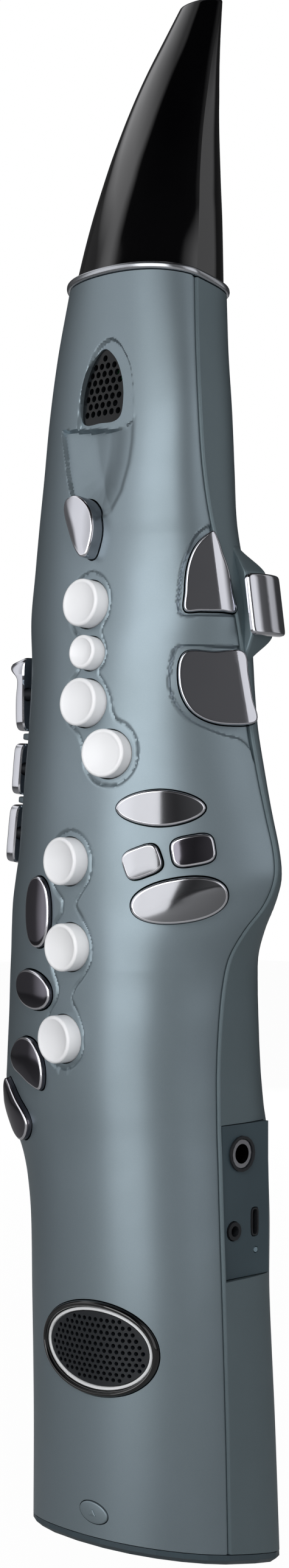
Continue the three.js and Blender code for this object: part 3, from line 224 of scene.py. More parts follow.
SPEAKER_GRILLE = dict(pitch=2.3, radius=0.72, room=0.9, face=-0.5, thickness=1.0, rim=3.7)
VENT = dict(around=1.5, up=388.6, width=21.2, height=24.0, shares=ARCH_SHARES)
VENT_ROOM = 0.15
SPEAKER = dict(around=8.6, up=71.2, width=48.4, height=32.4, taper=0.08, turn=-2)

# Recesses of the moulded front, as places round the front and up the body
VENT_ARCH = [
    (5.5, 404.4), (9.4, 402.2), (12.0, 398.9), (14.2, 395.0), (15.5, 390.5), (16.5, 385.0), (16.8, 379.5),
    (16.4, 374.0), (4.0, 371.0), (-8.7, 372.0), (-8.8, 378.1), (-8.2, 387.3), (-7.0, 391.8), (-5.4, 395.8),
    (-3.8, 398.8), (-1.8, 401.3), (1.6, 403.6),
]
VENT_SCOOP = [
    (-21.0, 389.0), (-18.0, 377.5), (-16.2, 372.0), (-14.4, 366.9), (-12.3, 360.5), (-9.9, 354.9), (-6.2, 349.6),
    (-1.5, 346.4), (5.0, 345.0), (11.0, 346.8), (15.1, 353.4), (17.6, 362.9), (18.4, 370.0), (18.3, 376.0),
    (18.3, 389.0),
]
LEDGE_ACROSS = [-18.0, -9.0, -1.3, 6.0, 13.9, 16.6, 18.2]
LEDGE_UP = [377.5, 376.5, 375.7, 375.3, 375.5, 376.9, 379.0]
PALM_RECESS_1 = [
    (41.6, 338.4), (39.5, 333.7), (37.5, 326.7), (36.9, 319.0), (36.9, 313.8), (38.6, 311.8), (46.4, 311.7),
    (54.2, 311.9), (64.0, 312.4), (72.0, 322.0), (70.0, 334.0), (58.0, 343.0), (50.0, 342.8), (45.4, 341.6),
]
PALM_RECESS_3 = [
    (36.6, 301.6), (35.3, 298.4), (34.7, 294.0), (34.8, 289.4), (36.6, 283.8), (41.4, 278.2), (48.4, 274.7),
    (54.3, 272.8), (59.8, 271.6), (63.4, 268.6), (66.6, 263.0), (80.0, 262.0), (84.0, 290.0), (72.0, 302.2),
    (54.0, 301.9),
]
TRACK_UPPER = [
    (3.4, 327.6), (8.6, 326.0), (12.4, 320.6), (12.2, 313.4), (9.7, 308.4), (10.8, 304.6), (12.2, 300.6),
    (11.0, 296.6), (9.2, 294.4), (11.8, 290.6), (14.2, 286.4), (16.6, 279.0), (21.6, 276.0), (25.2, 269.8),
    (24.2, 262.0), (18.6, 257.0), (11.0, 257.4), (5.6, 262.4), (3.9, 270.0), (1.2, 274.6), (-3.6, 278.6),
    (-5.0, 284.6), (-3.6, 291.0), (0.4, 295.6), (-1.2, 300.6), (0.2, 305.4), (-3.4, 309.0), (-6.2, 316.6),
    (-3.0, 324.6),
]
TRACK_LOWER = [
    (-0.9, 241.8), (5.6, 239.6), (9.0, 233.6), (8.2, 226.0), (4.6, 221.0), (2.4, 217.4), (4.8, 213.6),
    (8.8, 207.0), (9.2, 199.6), (5.6, 193.6), (1.8, 189.6), (0.6, 186.0), (3.6, 181.0), (6.0, 174.6),
    (4.6, 167.4), (-0.6, 163.2), (-7.0, 163.2), (-12.2, 167.6), (-13.6, 174.0), (-11.2, 181.0), (-7.4, 185.8),
    (-6.6, 189.6), (-9.4, 196.0), (-10.4, 203.0), (-8.2, 210.4), (-4.6, 214.6), (-4.2, 218.4), (-8.6, 223.0),
    (-11.0, 230.0), (-8.4, 238.0),
]

# Depths of the recesses and grooves, and the widths over which their walls fall
ARCH_DEPTH = 1.3
ARCH_WALL = 0.7
LEDGE_WALL = (-0.1, 0.3)
SCOOP_LIP = (0.6, 1.4)  # at its soft side, then at its crisp side
SCOOP_WALL = (2.8, 0.6)  # likewise
SCOOP_CRISP = (-8.0, 4.0)
SCOOP_BOWL = 2.6
SCOOP_RUN = 14.0
SCOOP_TOP_WALL = 0.5
PALM_BED = 0.95
PALM_WALL = (-0.2, 0.5)
TRACK_DEPTH = 0.34
TRACK_WALL = (-0.3, 0.1)
TRACK_LINE = (0.1, 0.6)
LEAST_SKIN = 1.2
CHAMFER_DEPTH = 0.75
CHAMFER_WIDTH = 0.7
STRIP_DEPTH = 0.55
STRIP_EDGE = (1.4, 1.65)
EDGE_STEPS = (0.0, 0.25, 0.5, 0.8, 1.15, 1.4, 1.65, 2.0, 2.6)

# Grids of the two halves: the stretch round each that has more columns, their counts
# before, on and after it, and the rows, which lie closer where the front has recesses
FRONT_GRID = dict(near=-19.0, far=66.0, counts=(16, 138, 6))
REAR_GRID = dict(near=-60.0, far=60.0, counts=(4, 90, 4))
FINE_UP = (161, 407)
FINE_STEP = 0.6
COARSE_STEP = 1.8
REAR_STEP = 2.0
LOOP_MARGIN = 3.0

# Block key, side keys, socket panel and the back
BLOCK_UP = 316.3
BLOCK = dict(y=7.2, width=15.6, height=20.3, power=12.0, drop=1.2, thickness=3.6, stem=3.0, sink=7.0, lean=0.15,
             dish=1.3, dish_half=7.5, chamfer=0.6, edge=0.9)
BOSS = dict(start=297.0, end=336.0, foot=9.0, out=2.2, near=3.6, depth=10.4, sunk=3.0, narrow=0.3)
BOSS_EDGE = dict(least=0.15, most=1.0, share=0.3)
SIDE_KEYS = [("side_key_1", 290.0, 26.0), ("side_key_2", 263.2, 18.0), ("side_key_3", 240.4, 20.4)]
SIDE_KEY = dict(width=11.0, ahead=2.4, thickness=4.2, stand_off=2.2, power=6.0, stem=2.0, sink=6.0, chamfer=0.5,
                edge=0.7)

# Outward flare at one side key's upper end, with a dip below it
FLARE = dict(key="side_key_1", foot=0.4, length=8.5, end=1.0, out=3.4, drop=2.0, dip=0.7, dip_at=9, dip_length=4)
TABS_UP = (274.7, 252.4)
TAB = dict(width=5.0, height=2.3, power=6.0)
TAB_SPAN = 2.6
TAB_LEVELS = [(-0.9, 1.0, -2.6), (-0.35, 1.0, -0.2), (0.0, 1.0, 5.0), (0.15, 1.0, 5.3), (0.15, 0.5, 5.35),
              (0.15, 0.0, 5.35)]
PANEL = dict(low=93.0, high=144.5, near=1.2, far=24.5, sunk=0.9)
THUMB_UP = 312.0
OCTAVE = dict(width=21.0, height=12.0, power=3.0, rise=3.4, above=21.5, stem=2.0, travel=1.6, sink=5.0, chamfer=0.4,
              edge=0.9)
COVER = dict(low=30.0, high=76.0, half=23.0, room=0.15)
SCREWS = [(-24, 92), (24, 92), (26, 192), (-28, 262), (20, 364), (-20, 364)]
SCREW_HEAD = 2.7
SCREW_SEAT = 1.6

# How far the cutters of holes reach in and out
CUT = (-9.0, 8.0)
DEEP_CUT = (-11.0, 12.0)
PANEL_CUT = 5.0
COVER_CUT = (4.0, -6.0)


# Section geometry

def table_value(table, share, column):
    """A column of a table of shares, read along a smooth curve through its rows."""
    at = 0
    while at < len(table) - 2 and table[at + 1][0] < share:
        at += 1

    def slope(place):
        before, after = table[max(0, place - 1)], table[min(len(table) - 1, place + 1)]
        return (after[column] - before[column]) / (after[0] - before[0])

    low, high = table[at], table[at + 1]
    span = high[0] - low[0]
    t = (share - low[0]) / span
    blend = t * t * (3 - 2 * t)
    return (low[column] * (1 - blend) + high[column] * blend
            + slope(at) * t * (1 - t) ** 2 * span + slope(at + 1) * t * t * (t - 1) * span)


def body_section(height):
    share = min(1.0, max(0.0, height / BODY_HEIGHT))
    value = [table_value(BODY_SHARES, share, column) for column in range(1, 7)]
    value[1] = min(value[1], WIDEST_LEFT_SHARE)
    return dict(right=value[0] * HALF_WIDTH, left=value[1] * HALF_WIDTH, seam_right=value[2] * REAR_DEPTH,
                seam_left=value[3] * REAR_DEPTH, front=value[4] * FRONT_DEPTH, rear=value[5] * REAR_DEPTH)


def cap_section(height):
    share = min(1.0, max(0.0, (height - CAP_START) / CAP_HEIGHT))
    width = table_value(CAP_SHARES, share, 1) * CAP_HALF_WIDTH
    seam = table_value(CAP_SHARES, share, 2) * CAP_REACH
    return dict(right=width, left=width, seam_right=seam, seam_left=seam,
                front=width * CAP_FRONT_SHARE - seam, rear=table_value(CAP_SHARES, share, 3) * CAP_REACH,
                flank=CAP_FLANK_SHARE)


def bezier(points, along):
    along = np.asarray(along, float)[:, None]
    back = 1 - along
    a, b, c, d = (np.asarray(point, float)[None, :] for point in points)
    return a * back ** 3 + 3 * b * along * back ** 2 + 3 * c * along ** 2 * back + d * along ** 3


def half_edge(kind, section, side, along):
    """Points from the seam (0) to the middle (1) of a section's front or rear, on one side."""
    width, seam = section[side], section["seam_" + side]
    flank, crown = 1.0, BACK_FLAT_SHARE
    end = section["rear"]
    turn = seam + BACK_WALL_SHARE * (end - seam)
    if kind.endswith("front"):
        flank, crown = FLANK_LEFT_SHARE, CROWN_LEFT_SHARE
        if side == "right":
            bulge = max(0.0, width / HALF_WIDTH - 1)
            flank = FLANK_RIGHT_SHARE - BULGE_FLANK_SHARE * bulge
            crown = CROWN_RIGHT_SHARE - BULGE_CROWN_SHARE * bulge
        flank = section.get("flank", flank)
        end = -section["front"]
        turn = seam - FLANK_RISE_SHARE * (seam - end)
    points = bezier([(width, seam), (width * flank, turn), (width * crown, end), (0, end)], along)
    if side == "left":
        points[:, 0] *= -1
    return points


def lift(height, y):
    at_base = max(0.0, 1 - height / BASE_FADE)
    at_top = max(0.0, 1 - abs(BODY_HEIGHT - height) / TOP_FADE)
    return height - y * (BASE_SLOPE * at_base + TOP_SLOPE * at_top)


CURVES = {}


def run_lengths(points):
    """Distance along a line of points to each of them."""
    return np.r_[0, np.cumsum(np.hypot(*np.diff(points, axis=0).T))]


def edge_curve(kind, height):
    """Arc distances from the middle (right positive) and the points of a section's edge."""
    key = (kind, round(float(height), 4))
    if key not in CURVES:
        section = cap_section(height) if kind.startswith("cap") else body_section(height)
        along = np.linspace(1, 0, 121)
        right, left = (half_edge(kind, section, side, along) for side in ("right", "left"))
        arcs = np.r_[-run_lengths(left)[::-1], run_lengths(right)[1:]]
        CURVES[key] = (arcs, np.vstack([left[::-1], right[1:]]))
    return CURVES[key]


def front_spot(around, height):
    arcs, points = edge_curve("front", height)
    x = np.interp(around, arcs, points[:, 0])
    y = np.interp(around, arcs, points[:, 1])
    return np.array((x, y, lift(height, y)))


def rear_spot(across, height):
    _, points = edge_curve("rear", height)
    y = np.interp(across, points[:, 0], points[:, 1])
    return np.array((across, y, lift(height, y)))


def unit(vector):
    return np.asarray(vector, float) / np.linalg.norm(vector)


class Place:
    """A seat for a piece: its centre and its side, up and outward directions."""

    def __init__(self, centre, outward, spot=None, seat=None, facing=1):
        self.centre = np.asarray(centre, float)
        self.axis = unit(outward)
        up = np.array((0.0, 0.0, 1.0))
        self.up = unit(up - self.axis * up.dot(self.axis))
        self.side = np.cross(self.up, self.axis)
        self.spot = spot
        self.seat = seat
        self.facing = facing

    def flat(self, right, rise, out):
        return self.centre + self.side * right + self.up * rise + self.axis * out

    def at(self, right, rise, out):
        if self.spot is None:
            return self.flat(right, rise, out)
        around, height = self.seat
        return self.spot(around + self.facing * right, height + rise) + self.axis * out


def surface_place(spot, around, height, facing):
    probe = 0.5
    run = spot(around + probe, height) - spot(around - probe, height)
    climb = spot(around, height + probe) - spot(around, height - probe)
    return Place(spot(around, height), np.cross(run, climb) * facing, spot, (around, height), facing)


def front_place(around, height):
    return surface_place(front_spot, around, height, 1)


def rear_place(across, height):
    return surface_place(rear_spot, across, height, -1)


def key_place(key):
    return front_place(key["around"], key["up"])


# Outlines, counter-clockwise, in millimetres

def oval(width, height, power=2.0, taper=0.0, turn=0.0, count=72):
    """Rounded outline, which can be squarer, wider at its right, and turned."""
    angle = math.radians(turn)
    around = np.arange(count) / count * math.tau
    c, s = np.cos(around), np.sin(around)
    x = np.sign(c) * np.abs(c) ** (2 / power) * width / 2
    y = np.sign(s) * np.abs(s) ** (2 / power) * height / 2 * (1 + taper * c)
    turned = np.array([(math.cos(angle), math.sin(angle)), (-math.sin(angle), math.cos(angle))])
    return even(np.column_stack([x, y]) @ turned, count)


def disc(radius, count=72):
    return oval(radius * 2, radius * 2, count=count)


def even(points, count):
    """The closed outline again, with its points evenly spaced."""
    ring = np.vstack([points, points[:1]])
    run = run_lengths(ring)
    wanted = np.arange(count) / count * run[-1]
    return np.column_stack([np.interp(wanted, run, ring[:, at]) for at in (0, 1)])


def curved(width, height, shares, count=72):
    """Smooth closed outline through shares of a width and a height."""
    points = np.array(shares, float) * (width, height)

    def between(a, b, start, end, t):
        return (end - t) / (end - start) * a + (t - start) / (end - start) * b

    found = []
    for at in range(len(points)):
        p = [points[(at + step) % len(points)] for step in (-1, 0, 1, 2)]
        k = np.r_[0, np.cumsum([max(1e-6, np.linalg.norm(b - a) ** 0.5) for a, b in zip(p, p[1:])])]
        for t in np.linspace(k[1], k[2], 12, endpoint=False):
            first = [between(p[i], p[i + 1], k[i], k[i + 1], t) for i in range(3)]
            second = [between(first[i], first[i + 1], k[i], k[i + 2], t) for i in range(2)]
            found.append(between(*second, k[1], k[2], t))
    x, y = np.array(found).T
    order = -1 if np.sum(x * np.roll(y, -1) - y * np.roll(x, -1)) < 0 else 1
    return even(np.array(found)[::order], count)


def outline_of(key, count=72):
    if "shares" in key:
        return curved(key["width"], key["height"], key["shares"], count)
    shape = {name: key[name] for name in ("power", "taper", "turn") if name in key}
    return oval(key["width"], key["height"], count=count, **shape)


def inset(points, distance):
    run = np.roll(points, -1, axis=0) - np.roll(points, 1, axis=0)
    run = run / np.linalg.norm(run, axis=1)[:, None]
    return points + np.column_stack([-run[:, 1], run[:, 0]]) * distance


def rounded(sink, rise, edge, crown=0.0, steps=6, rings=7):
    """Levels of a key: straight side, round edge, then a flat or domed top."""
    levels = [(0.0, 1.0, -sink)]
    for angle in np.linspace(0, math.pi / 2, steps + 1):
        levels.append((edge * (1 - math.cos(angle)), 1.0, rise - edge + edge * math.sin(angle)))
    for ring in range(1, rings + 1):
        share = 1 - ring / rings
        levels.append((edge, share, rise + crown * (1 - share ** 2)))
    return levels


def raised(low, chamfer, top, edge, rings):
    """Levels of a key that stands off the body: chamfered foot, round edge and flat top."""
    return [(chamfer, 1.0, low), (0.0, 1.0, low + chamfer)] + rounded(0.0, top, edge, rings=rings)[1:]


# Mesh making

def linked_object(name, points, faces):
    """A new object in the scene, from points in metres."""
    mesh = bpy.data.meshes.new(name)
    mesh.from_pydata(points, [], faces)
    obj = bpy.data.objects.new(name, mesh)
    bpy.context.scene.collection.objects.link(obj)
    return obj


def solid(name, parts):
    """A new object from vertices in the part's millimetres, and faces."""
    verts, faces = parts
    points = (np.asarray(verts, float) - ORIGIN) * MM
    obj = linked_object(name, points.tolist(), [list(face) for face in faces])
    obj.data.validate()
    obj.data.update()
    return obj


def piece(name, parts, material, node=None, body="body", sharp=40):
    """A solid with its finish, which takes the place of a CAD node and rides on a body."""
    obj = solid(name, parts)
    shade(obj, sharp)
    obj.data.materials.append(materials()[material])
    if node:
        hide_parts(node)
    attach(obj, body)
    return obj


def shade(obj, sharp):
    """Smooth shading that breaks at edges of more than so many degrees; 0 breaks at none."""
    mesh = obj.data
    mesh.polygons.foreach_set("use_smooth", [True] * len(mesh.polygons))
    if sharp:
        mesh.set_sharp_from_angle(angle=math.radians(sharp))


def ring_faces(rows, count, wrapped=False):
    """Faces between closed rings, and from the last back to the first if wrapped."""
    faces = []
    for row in range(rows if wrapped else rows - 1):
        above = (row + 1) % rows
        for at in range(count):
            after = (at + 1) % count
            faces.append((row * count + at, row * count + after, above * count + after, above * count + at))
    return faces


def flat_list(rows):
    return [point for row in rows for point in row]


def band_parts(rows):
    """Closed band through rings of points."""
    return flat_list(rows), ring_faces(len(rows), len(rows[0]), wrapped=True)


def tube_parts(rows):
    """Tube through rings of points, closed at both ends."""
    count = len(rows[0])
    last = (len(rows) - 1) * count
    ends = [tuple(reversed(range(count))), tuple(range(last, last + count))]
    return flat_list(rows), ring_faces(len(rows), count) + ends


def pad_parts(outline, at, levels):
    """Pad with a ring at each level. Its foot is the first face, and its top is a point."""
    count = len(outline)
    rows = [[at(x, y, out) for x, y in inset(outline, step) * share] for step, share, out in levels if share > 0]
    verts = flat_list(rows) + [at(0, 0, levels[-1][2])]
    start = (len(rows) - 1) * count
    faces = [tuple(reversed(range(count)))] + ring_faces(len(rows), count)
    faces += [(start + step, start + (step + 1) % count, len(verts) - 1) for step in range(count)]
    return verts, faces


def plug_parts(outline, at, room, start, end):
    """Closed plug of an outline, used to cut a hole."""
    ring = inset(outline, -room)
    return tube_parts([[at(x, y, out) for x, y in ring] for out in (start, end)])


def rod_parts(centre, axis, radius, start, end, count=32):
    """Round rod along an axis, used as a stem or to cut a hole."""
    axis = unit(axis)
    aside = unit(np.cross(axis, (0.0, 0.31, 0.95)))
    other = np.cross(axis, aside)
    circle = [(aside * math.cos(turn) + other * math.sin(turn)) * radius
              for turn in np.arange(count) / count * math.tau]
    return tube_parts([[centre + axis * height + spoke for spoke in circle] for height in (start, end)])


def stem_parts(place, key, end, count=32):
    return rod_parts(place.centre, place.axis, key["stem"], -key["sink"], end, count)


def stem_hole(place, key, count=32):
    return rod_parts(place.centre, place.axis, key["stem"] + RUN_GAP, *DEEP_CUT, count)


def block_parts(low, high):
    verts = [(x, y, z) for z in (low[2], high[2]) for y in (low[1], high[1]) for x in (low[0], high[0])]
    return verts, [(0, 2, 3, 1), (4, 5, 7, 6), (0, 1, 5, 4), (1, 3, 7, 5), (3, 2, 6, 7), (2, 0, 4, 6)]


def slab_faces(rows, columns):
    """Faces of a slab: a grid, the same grid behind it, and the four edges between them."""
    behind = rows * columns
    at = (np.arange(rows - 1)[:, None] * columns + np.arange(columns - 1)[None, :]).ravel()
    outer = np.column_stack([at, at + 1, at + 1 + columns, at + columns])
    low = np.arange(columns - 1)
    top = low + (rows - 1) * columns
    left = np.arange(rows - 1) * columns
    right = left + columns - 1
    edges = [(low + 1, low), (top, top + 1), (left, left + columns), (right + columns, right)]
    return np.vstack([outer, outer[:, ::-1] + behind,
                      *(np.column_stack([a, b, behind + b, behind + a]) for a, b in edges)])


def merged(parts):
    verts, faces = [], []
    for some, others in parts:
        start = len(verts)
        verts.extend(some)
        faces.extend(tuple(start + at for at in face) for face in others)
    return verts, faces


def carve(obj, holes, sharp=34):
    """Cuts closed holes out of a closed piece, and shades it again."""
    cutter = solid(obj.name + "_cutter", merged(holes))
    cut = obj.modifiers.new("Cut", "BOOLEAN")
    cut.operation = "DIFFERENCE"
    cut.solver = "MANIFOLD"
    cut.object = cutter
    graph = bpy.context.evaluated_depsgraph_get()
    mesh = bpy.data.meshes.new_from_object(obj.evaluated_get(graph))
    if not mesh.polygons:
        raise RuntimeError(f"cutting {obj.name} left nothing")
    obj.modifiers.clear()
    old = obj.data
    obj.data = mesh
    bpy.data.meshes.remove(old)
    bpy.data.objects.remove(cutter)
    shade(obj, sharp)


def polygon_distance(points, polygon):
    """Signed distance from each point to a closed polygon, negative inside."""
    best = np.full(len(points), np.inf)
    inside = np.zeros(len(points), bool)
    for a, b in zip(polygon, np.roll(polygon, -1, axis=0)):
        edge = b - a
        along = np.clip(((points - a) @ edge) / (edge @ edge), 0, 1)
        best = np.minimum(best, np.linalg.norm(points - a - along[:, None] * edge, axis=1))
        if a[1] != b[1]:
            crosses = (a[1] > points[:, 1]) != (b[1] > points[:, 1])
            inside ^= crosses & (points[:, 0] < a[0] + (points[:, 1] - a[1]) * edge[0] / edge[1])
    return np.where(inside, -best, best)


def smooth_step(value, low, high):
    t = np.clip((value - low) / (high - low), 0, 1)
    return t * t * (3 - 2 * t)


def loop_depth(places, ring):
    """How far each place lies inside a closed ring, worked out only near it."""
    low, high = ring.min(axis=0) - LOOP_MARGIN, ring.max(axis=0) + LOOP_MARGIN
    close = np.all((places > low) & (places < high), axis=1)
    found = np.full(len(places), -LOOP_MARGIN)
    found[close] = -polygon_distance(places[close], ring)
    return found


def front_depth(around, height):
    """How deep the moulded recesses of the front go, in millimetres."""
    places = np.column_stack([around, height])
    above = height - np.interp(around, LEDGE_ACROSS, LEDGE_UP)
    arch = loop_depth(places, curved(1, 1, VENT_ARCH, 120))
    depth = ARCH_DEPTH * smooth_step(arch, 0.0, ARCH_WALL) * smooth_step(above, *LEDGE_WALL)
    scoop = loop_depth(places, np.array(VENT_SCOOP))
    crisp = smooth_step(-around, *SCOOP_CRISP)
    lip, wall = (soft + (hard - soft) * crisp for soft, hard in (SCOOP_LIP, SCOOP_WALL))
    bowl = lip * smooth_step(scoop, 0.0, wall) + SCOOP_BOWL * smooth_step(scoop, 0.0, SCOOP_RUN)
    depth = np.maximum(depth, bowl * smooth_step(-above, 0.0, SCOOP_TOP_WALL))
    for loop in (PALM_RECESS_1, PALM_RECESS_3):
        depth += PALM_BED * smooth_step(loop_depth(places, curved(1, 1, loop, 120)), *PALM_WALL)
    for loop in (TRACK_UPPER, TRACK_LOWER):
        track = loop_depth(places, curved(1, 1, loop, 160))
        depth += TRACK_DEPTH * (smooth_step(track, *TRACK_WALL) + 1 - smooth_step(np.abs(track), *TRACK_LINE))
    return depth


def spread(low, high, near, far, counts):
    """Places round a section: close together at its ends and between near and far."""
    edges = np.array(EDGE_STEPS)
    start = max(low + edges[-1] + 1, near)
    stop = min(high - edges[-1] - 1, far)
    return np.concatenate([
        low + edges, np.linspace(low + edges[-1], start, counts[0])[1:], np.linspace(start, stop, counts[1])[1:],
        np.linspace(stop, high - edges[-1], counts[2])[1:-1], high - edges[::-1]])


def skin_solid(kind, heights, near, far, counts, depth=None, strip=0.0):
    """Closed moulded half: a fine outer grid and the inner wall behind it.

    Its rim is chamfered where the halves meet, and beside the right rim lies a lower strip.
    """
    facing = 1 if kind == "front" else -1
    grid, around_all, arc_ends = [], [], []
    for height in heights:
        arcs, points = edge_curve(kind, height)
        around = spread(arcs[0], arcs[-1], near, far, counts)
        x, y = (np.interp(around, arcs, points[:, at]) for at in (0, 1))
        grid.append(np.column_stack([x, y, [lift(height, value) for value in y]]))
        around_all.append(around)
        arc_ends.append((arcs[0], arcs[-1]))
    grid, around_all, arc_ends = np.array(grid), np.array(around_all), np.array(arc_ends)
    rows, columns = grid.shape[:2]
    normal = np.cross(np.gradient(grid, axis=1), np.gradient(grid, axis=0)) * facing
    normal /= np.linalg.norm(normal, axis=2)[:, :, None]
    from_right = arc_ends[:, 1:] - around_all
    from_edge = np.minimum(around_all - arc_ends[:, :1], from_right)
    sunk = CHAMFER_DEPTH * (1 - smooth_step(from_edge, 0.0, CHAMFER_WIDTH))
    sunk += strip * (1 - smooth_step(from_right, *STRIP_EDGE))
    if depth is not None:
        height_all = np.repeat(np.asarray(heights, float), columns)
        sunk += depth(around_all.ravel(), height_all).reshape(rows, columns)
    face = grid - normal * sunk[:, :, None]
    back = grid - normal * np.maximum(SKIN, sunk + LEAST_SKIN)[:, :, None]
    for at in (0, -1):
        back[:, at] = face[:, at]
        back[:, at, 0] -= np.sign(grid[:, at, 0]) * SKIN
    return np.vstack([face.reshape(-1, 3), back.reshape(-1, 3)]), slab_faces(rows, columns)[:, ::facing].tolist()


# Materials

GRAIN_SCALE = 1500.0
GRAIN_HEIGHT = 0.00005


def linear(code):
    parts = [int(code[at:at + 2], 16) / 255 for at in (1, 3, 5)]
    return tuple(c / 12.92 if c <= 0.04045 else ((c + 0.055) / 1.055) ** 2.4 for c in parts) + (1.0,)


def new_group(name, inputs, outputs):
    group = bpy.data.node_groups.new(name, "ShaderNodeTree")
    for label, kind, default in inputs:
        socket = group.interface.new_socket(label, in_out="INPUT", socket_type=kind)
        socket.default_value = default
    for label, kind in outputs:
        group.interface.new_socket(label, in_out="OUTPUT", socket_type=kind)
    return group, group.nodes.new("NodeGroupInput"), group.nodes.new("NodeGroupOutput")


def feed(tree, node, inputs):
    """Fills a node's inputs, each from a value or from the output of another node."""
    for name, value in inputs.items():
        if isinstance(value, bpy.types.NodeSocket):
            tree.links.new(value, node.inputs[name])
        else:
            node.inputs[name].default_value = value


def node_tree(block):
    """The node tree of a new material or world."""
    block.use_nodes = True
    return block.node_tree


def add_node(tree, kind, inputs=None, **settings):
    node = tree.nodes.new(kind)
    for name, value in settings.items():
        setattr(node, name, value)
    feed(tree, node, inputs or {})
    return node


def mottle_group():
    """Colour that drifts slightly between two tones, with fine specks."""
    name = "Soft mottle"
    if name in bpy.data.node_groups:
        return bpy.data.node_groups[name]
    group, given, result = new_group(name, [
        ("Base", "NodeSocketColor", (0.5, 0.5, 0.5, 1)), ("Drift", "NodeSocketColor", (0.4, 0.4, 0.4, 1)),
        ("Scale", "NodeSocketFloat", 40.0), ("Fleck scale", "NodeSocketFloat", 2600.0),
        ("Fleck", "NodeSocketFloat", 0.1)], [("Color", "NodeSocketColor"), ("Mask", "NodeSocketFloat")])
    given = given.outputs
    place = add_node(group, "ShaderNodeTexCoord").outputs["Object"]
    cloud, fleck = (
        add_node(group, "ShaderNodeTexNoise", {"Vector": place, "Scale": given[scale], "Detail": detail}).outputs["Fac"]
        for scale, detail in (("Scale", 4.0), ("Fleck scale", 1.0)))
    drift = add_node(group, "ShaderNodeMapRange", {"Value": cloud, "From Min": 0.35, "From Max": 0.65})
    blend = add_node(group, "ShaderNodeMix", {
        "Factor": drift.outputs["Result"], "A": given["Base"], "B": given["Drift"]}, data_type="RGBA")
    amount = add_node(group, "ShaderNodeMath", {0: fleck, 1: given["Fleck"]}, operation="MULTIPLY")
    speck = add_node(group, "ShaderNodeMix", {
        "Factor": amount.outputs[0], "A": blend.outputs["Result"], "B": (0.8, 0.84, 0.88, 1)}, data_type="RGBA")
    feed(group, result, {"Color": speck.outputs["Result"], "Mask": cloud})
    return group


def grain_group():
    """Fine bump of moulded or brushed surfaces."""
    name = "Fine grain"
    if name in bpy.data.node_groups:
        return bpy.data.node_groups[name]
    group, given, result = new_group(name, [
        ("Scale", "NodeSocketFloat", GRAIN_SCALE), ("Strength", "NodeSocketFloat", 0.05),
        ("Stretch", "NodeSocketVector", (1.0, 1.0, 1.0))], [("Normal", "NodeSocketVector")])
    given = given.outputs
    place = add_node(group, "ShaderNodeTexCoord").outputs["Object"]
    stretch = add_node(group, "ShaderNodeVectorMath", {0: place, 1: given["Stretch"]}, operation="MULTIPLY")
    noise = add_node(group, "ShaderNodeTexNoise", {"Vector": stretch.outputs["Vector"], "Scale": given["Scale"]})
    bump = add_node(group, "ShaderNodeBump", {
        "Height": noise.outputs["Fac"], "Strength": given["Strength"], "Distance": GRAIN_HEIGHT})
    feed(group, result, {"Normal": bump.outputs["Normal"]})
    return group


def make_material(name, base, drift, roughness, metallic=0.0, coat=0.0, specular=0.5, mottle=40.0, fleck=0.0,
                  strength=0.04, stretch=(1, 1, 1), spread=0.05):
    """Finish whose colour and roughness drift a little, with a fine bump."""
    material = bpy.data.materials.new(name)
    tree = node_tree(material)
    tone = add_node(tree, "ShaderNodeGroup", {
        "Base": linear(base), "Drift": linear(drift), "Scale": mottle, "Fleck": fleck}, node_tree=mottle_group())
    rough = add_node(tree, "ShaderNodeMapRange", {
        "Value": tone.outputs["Mask"], "To Min": max(0.0, roughness - spread), "To Max": roughness + spread})
    grain = add_node(tree, "ShaderNodeGroup", {
        "Scale": GRAIN_SCALE, "Strength": strength, "Stretch": stretch}, node_tree=grain_group())
    feed(tree, tree.nodes["Principled BSDF"], {
        "Base Color": tone.outputs["Color"], "Roughness": rough.outputs["Result"], "Normal": grain.outputs["Normal"],
        "Metallic": metallic, "Coat Weight": coat, "Specular IOR Level": specular})
    return material


MATERIALS = {}
POLISHED = dict(metallic=1.0, strength=0.01, spread=0.02)


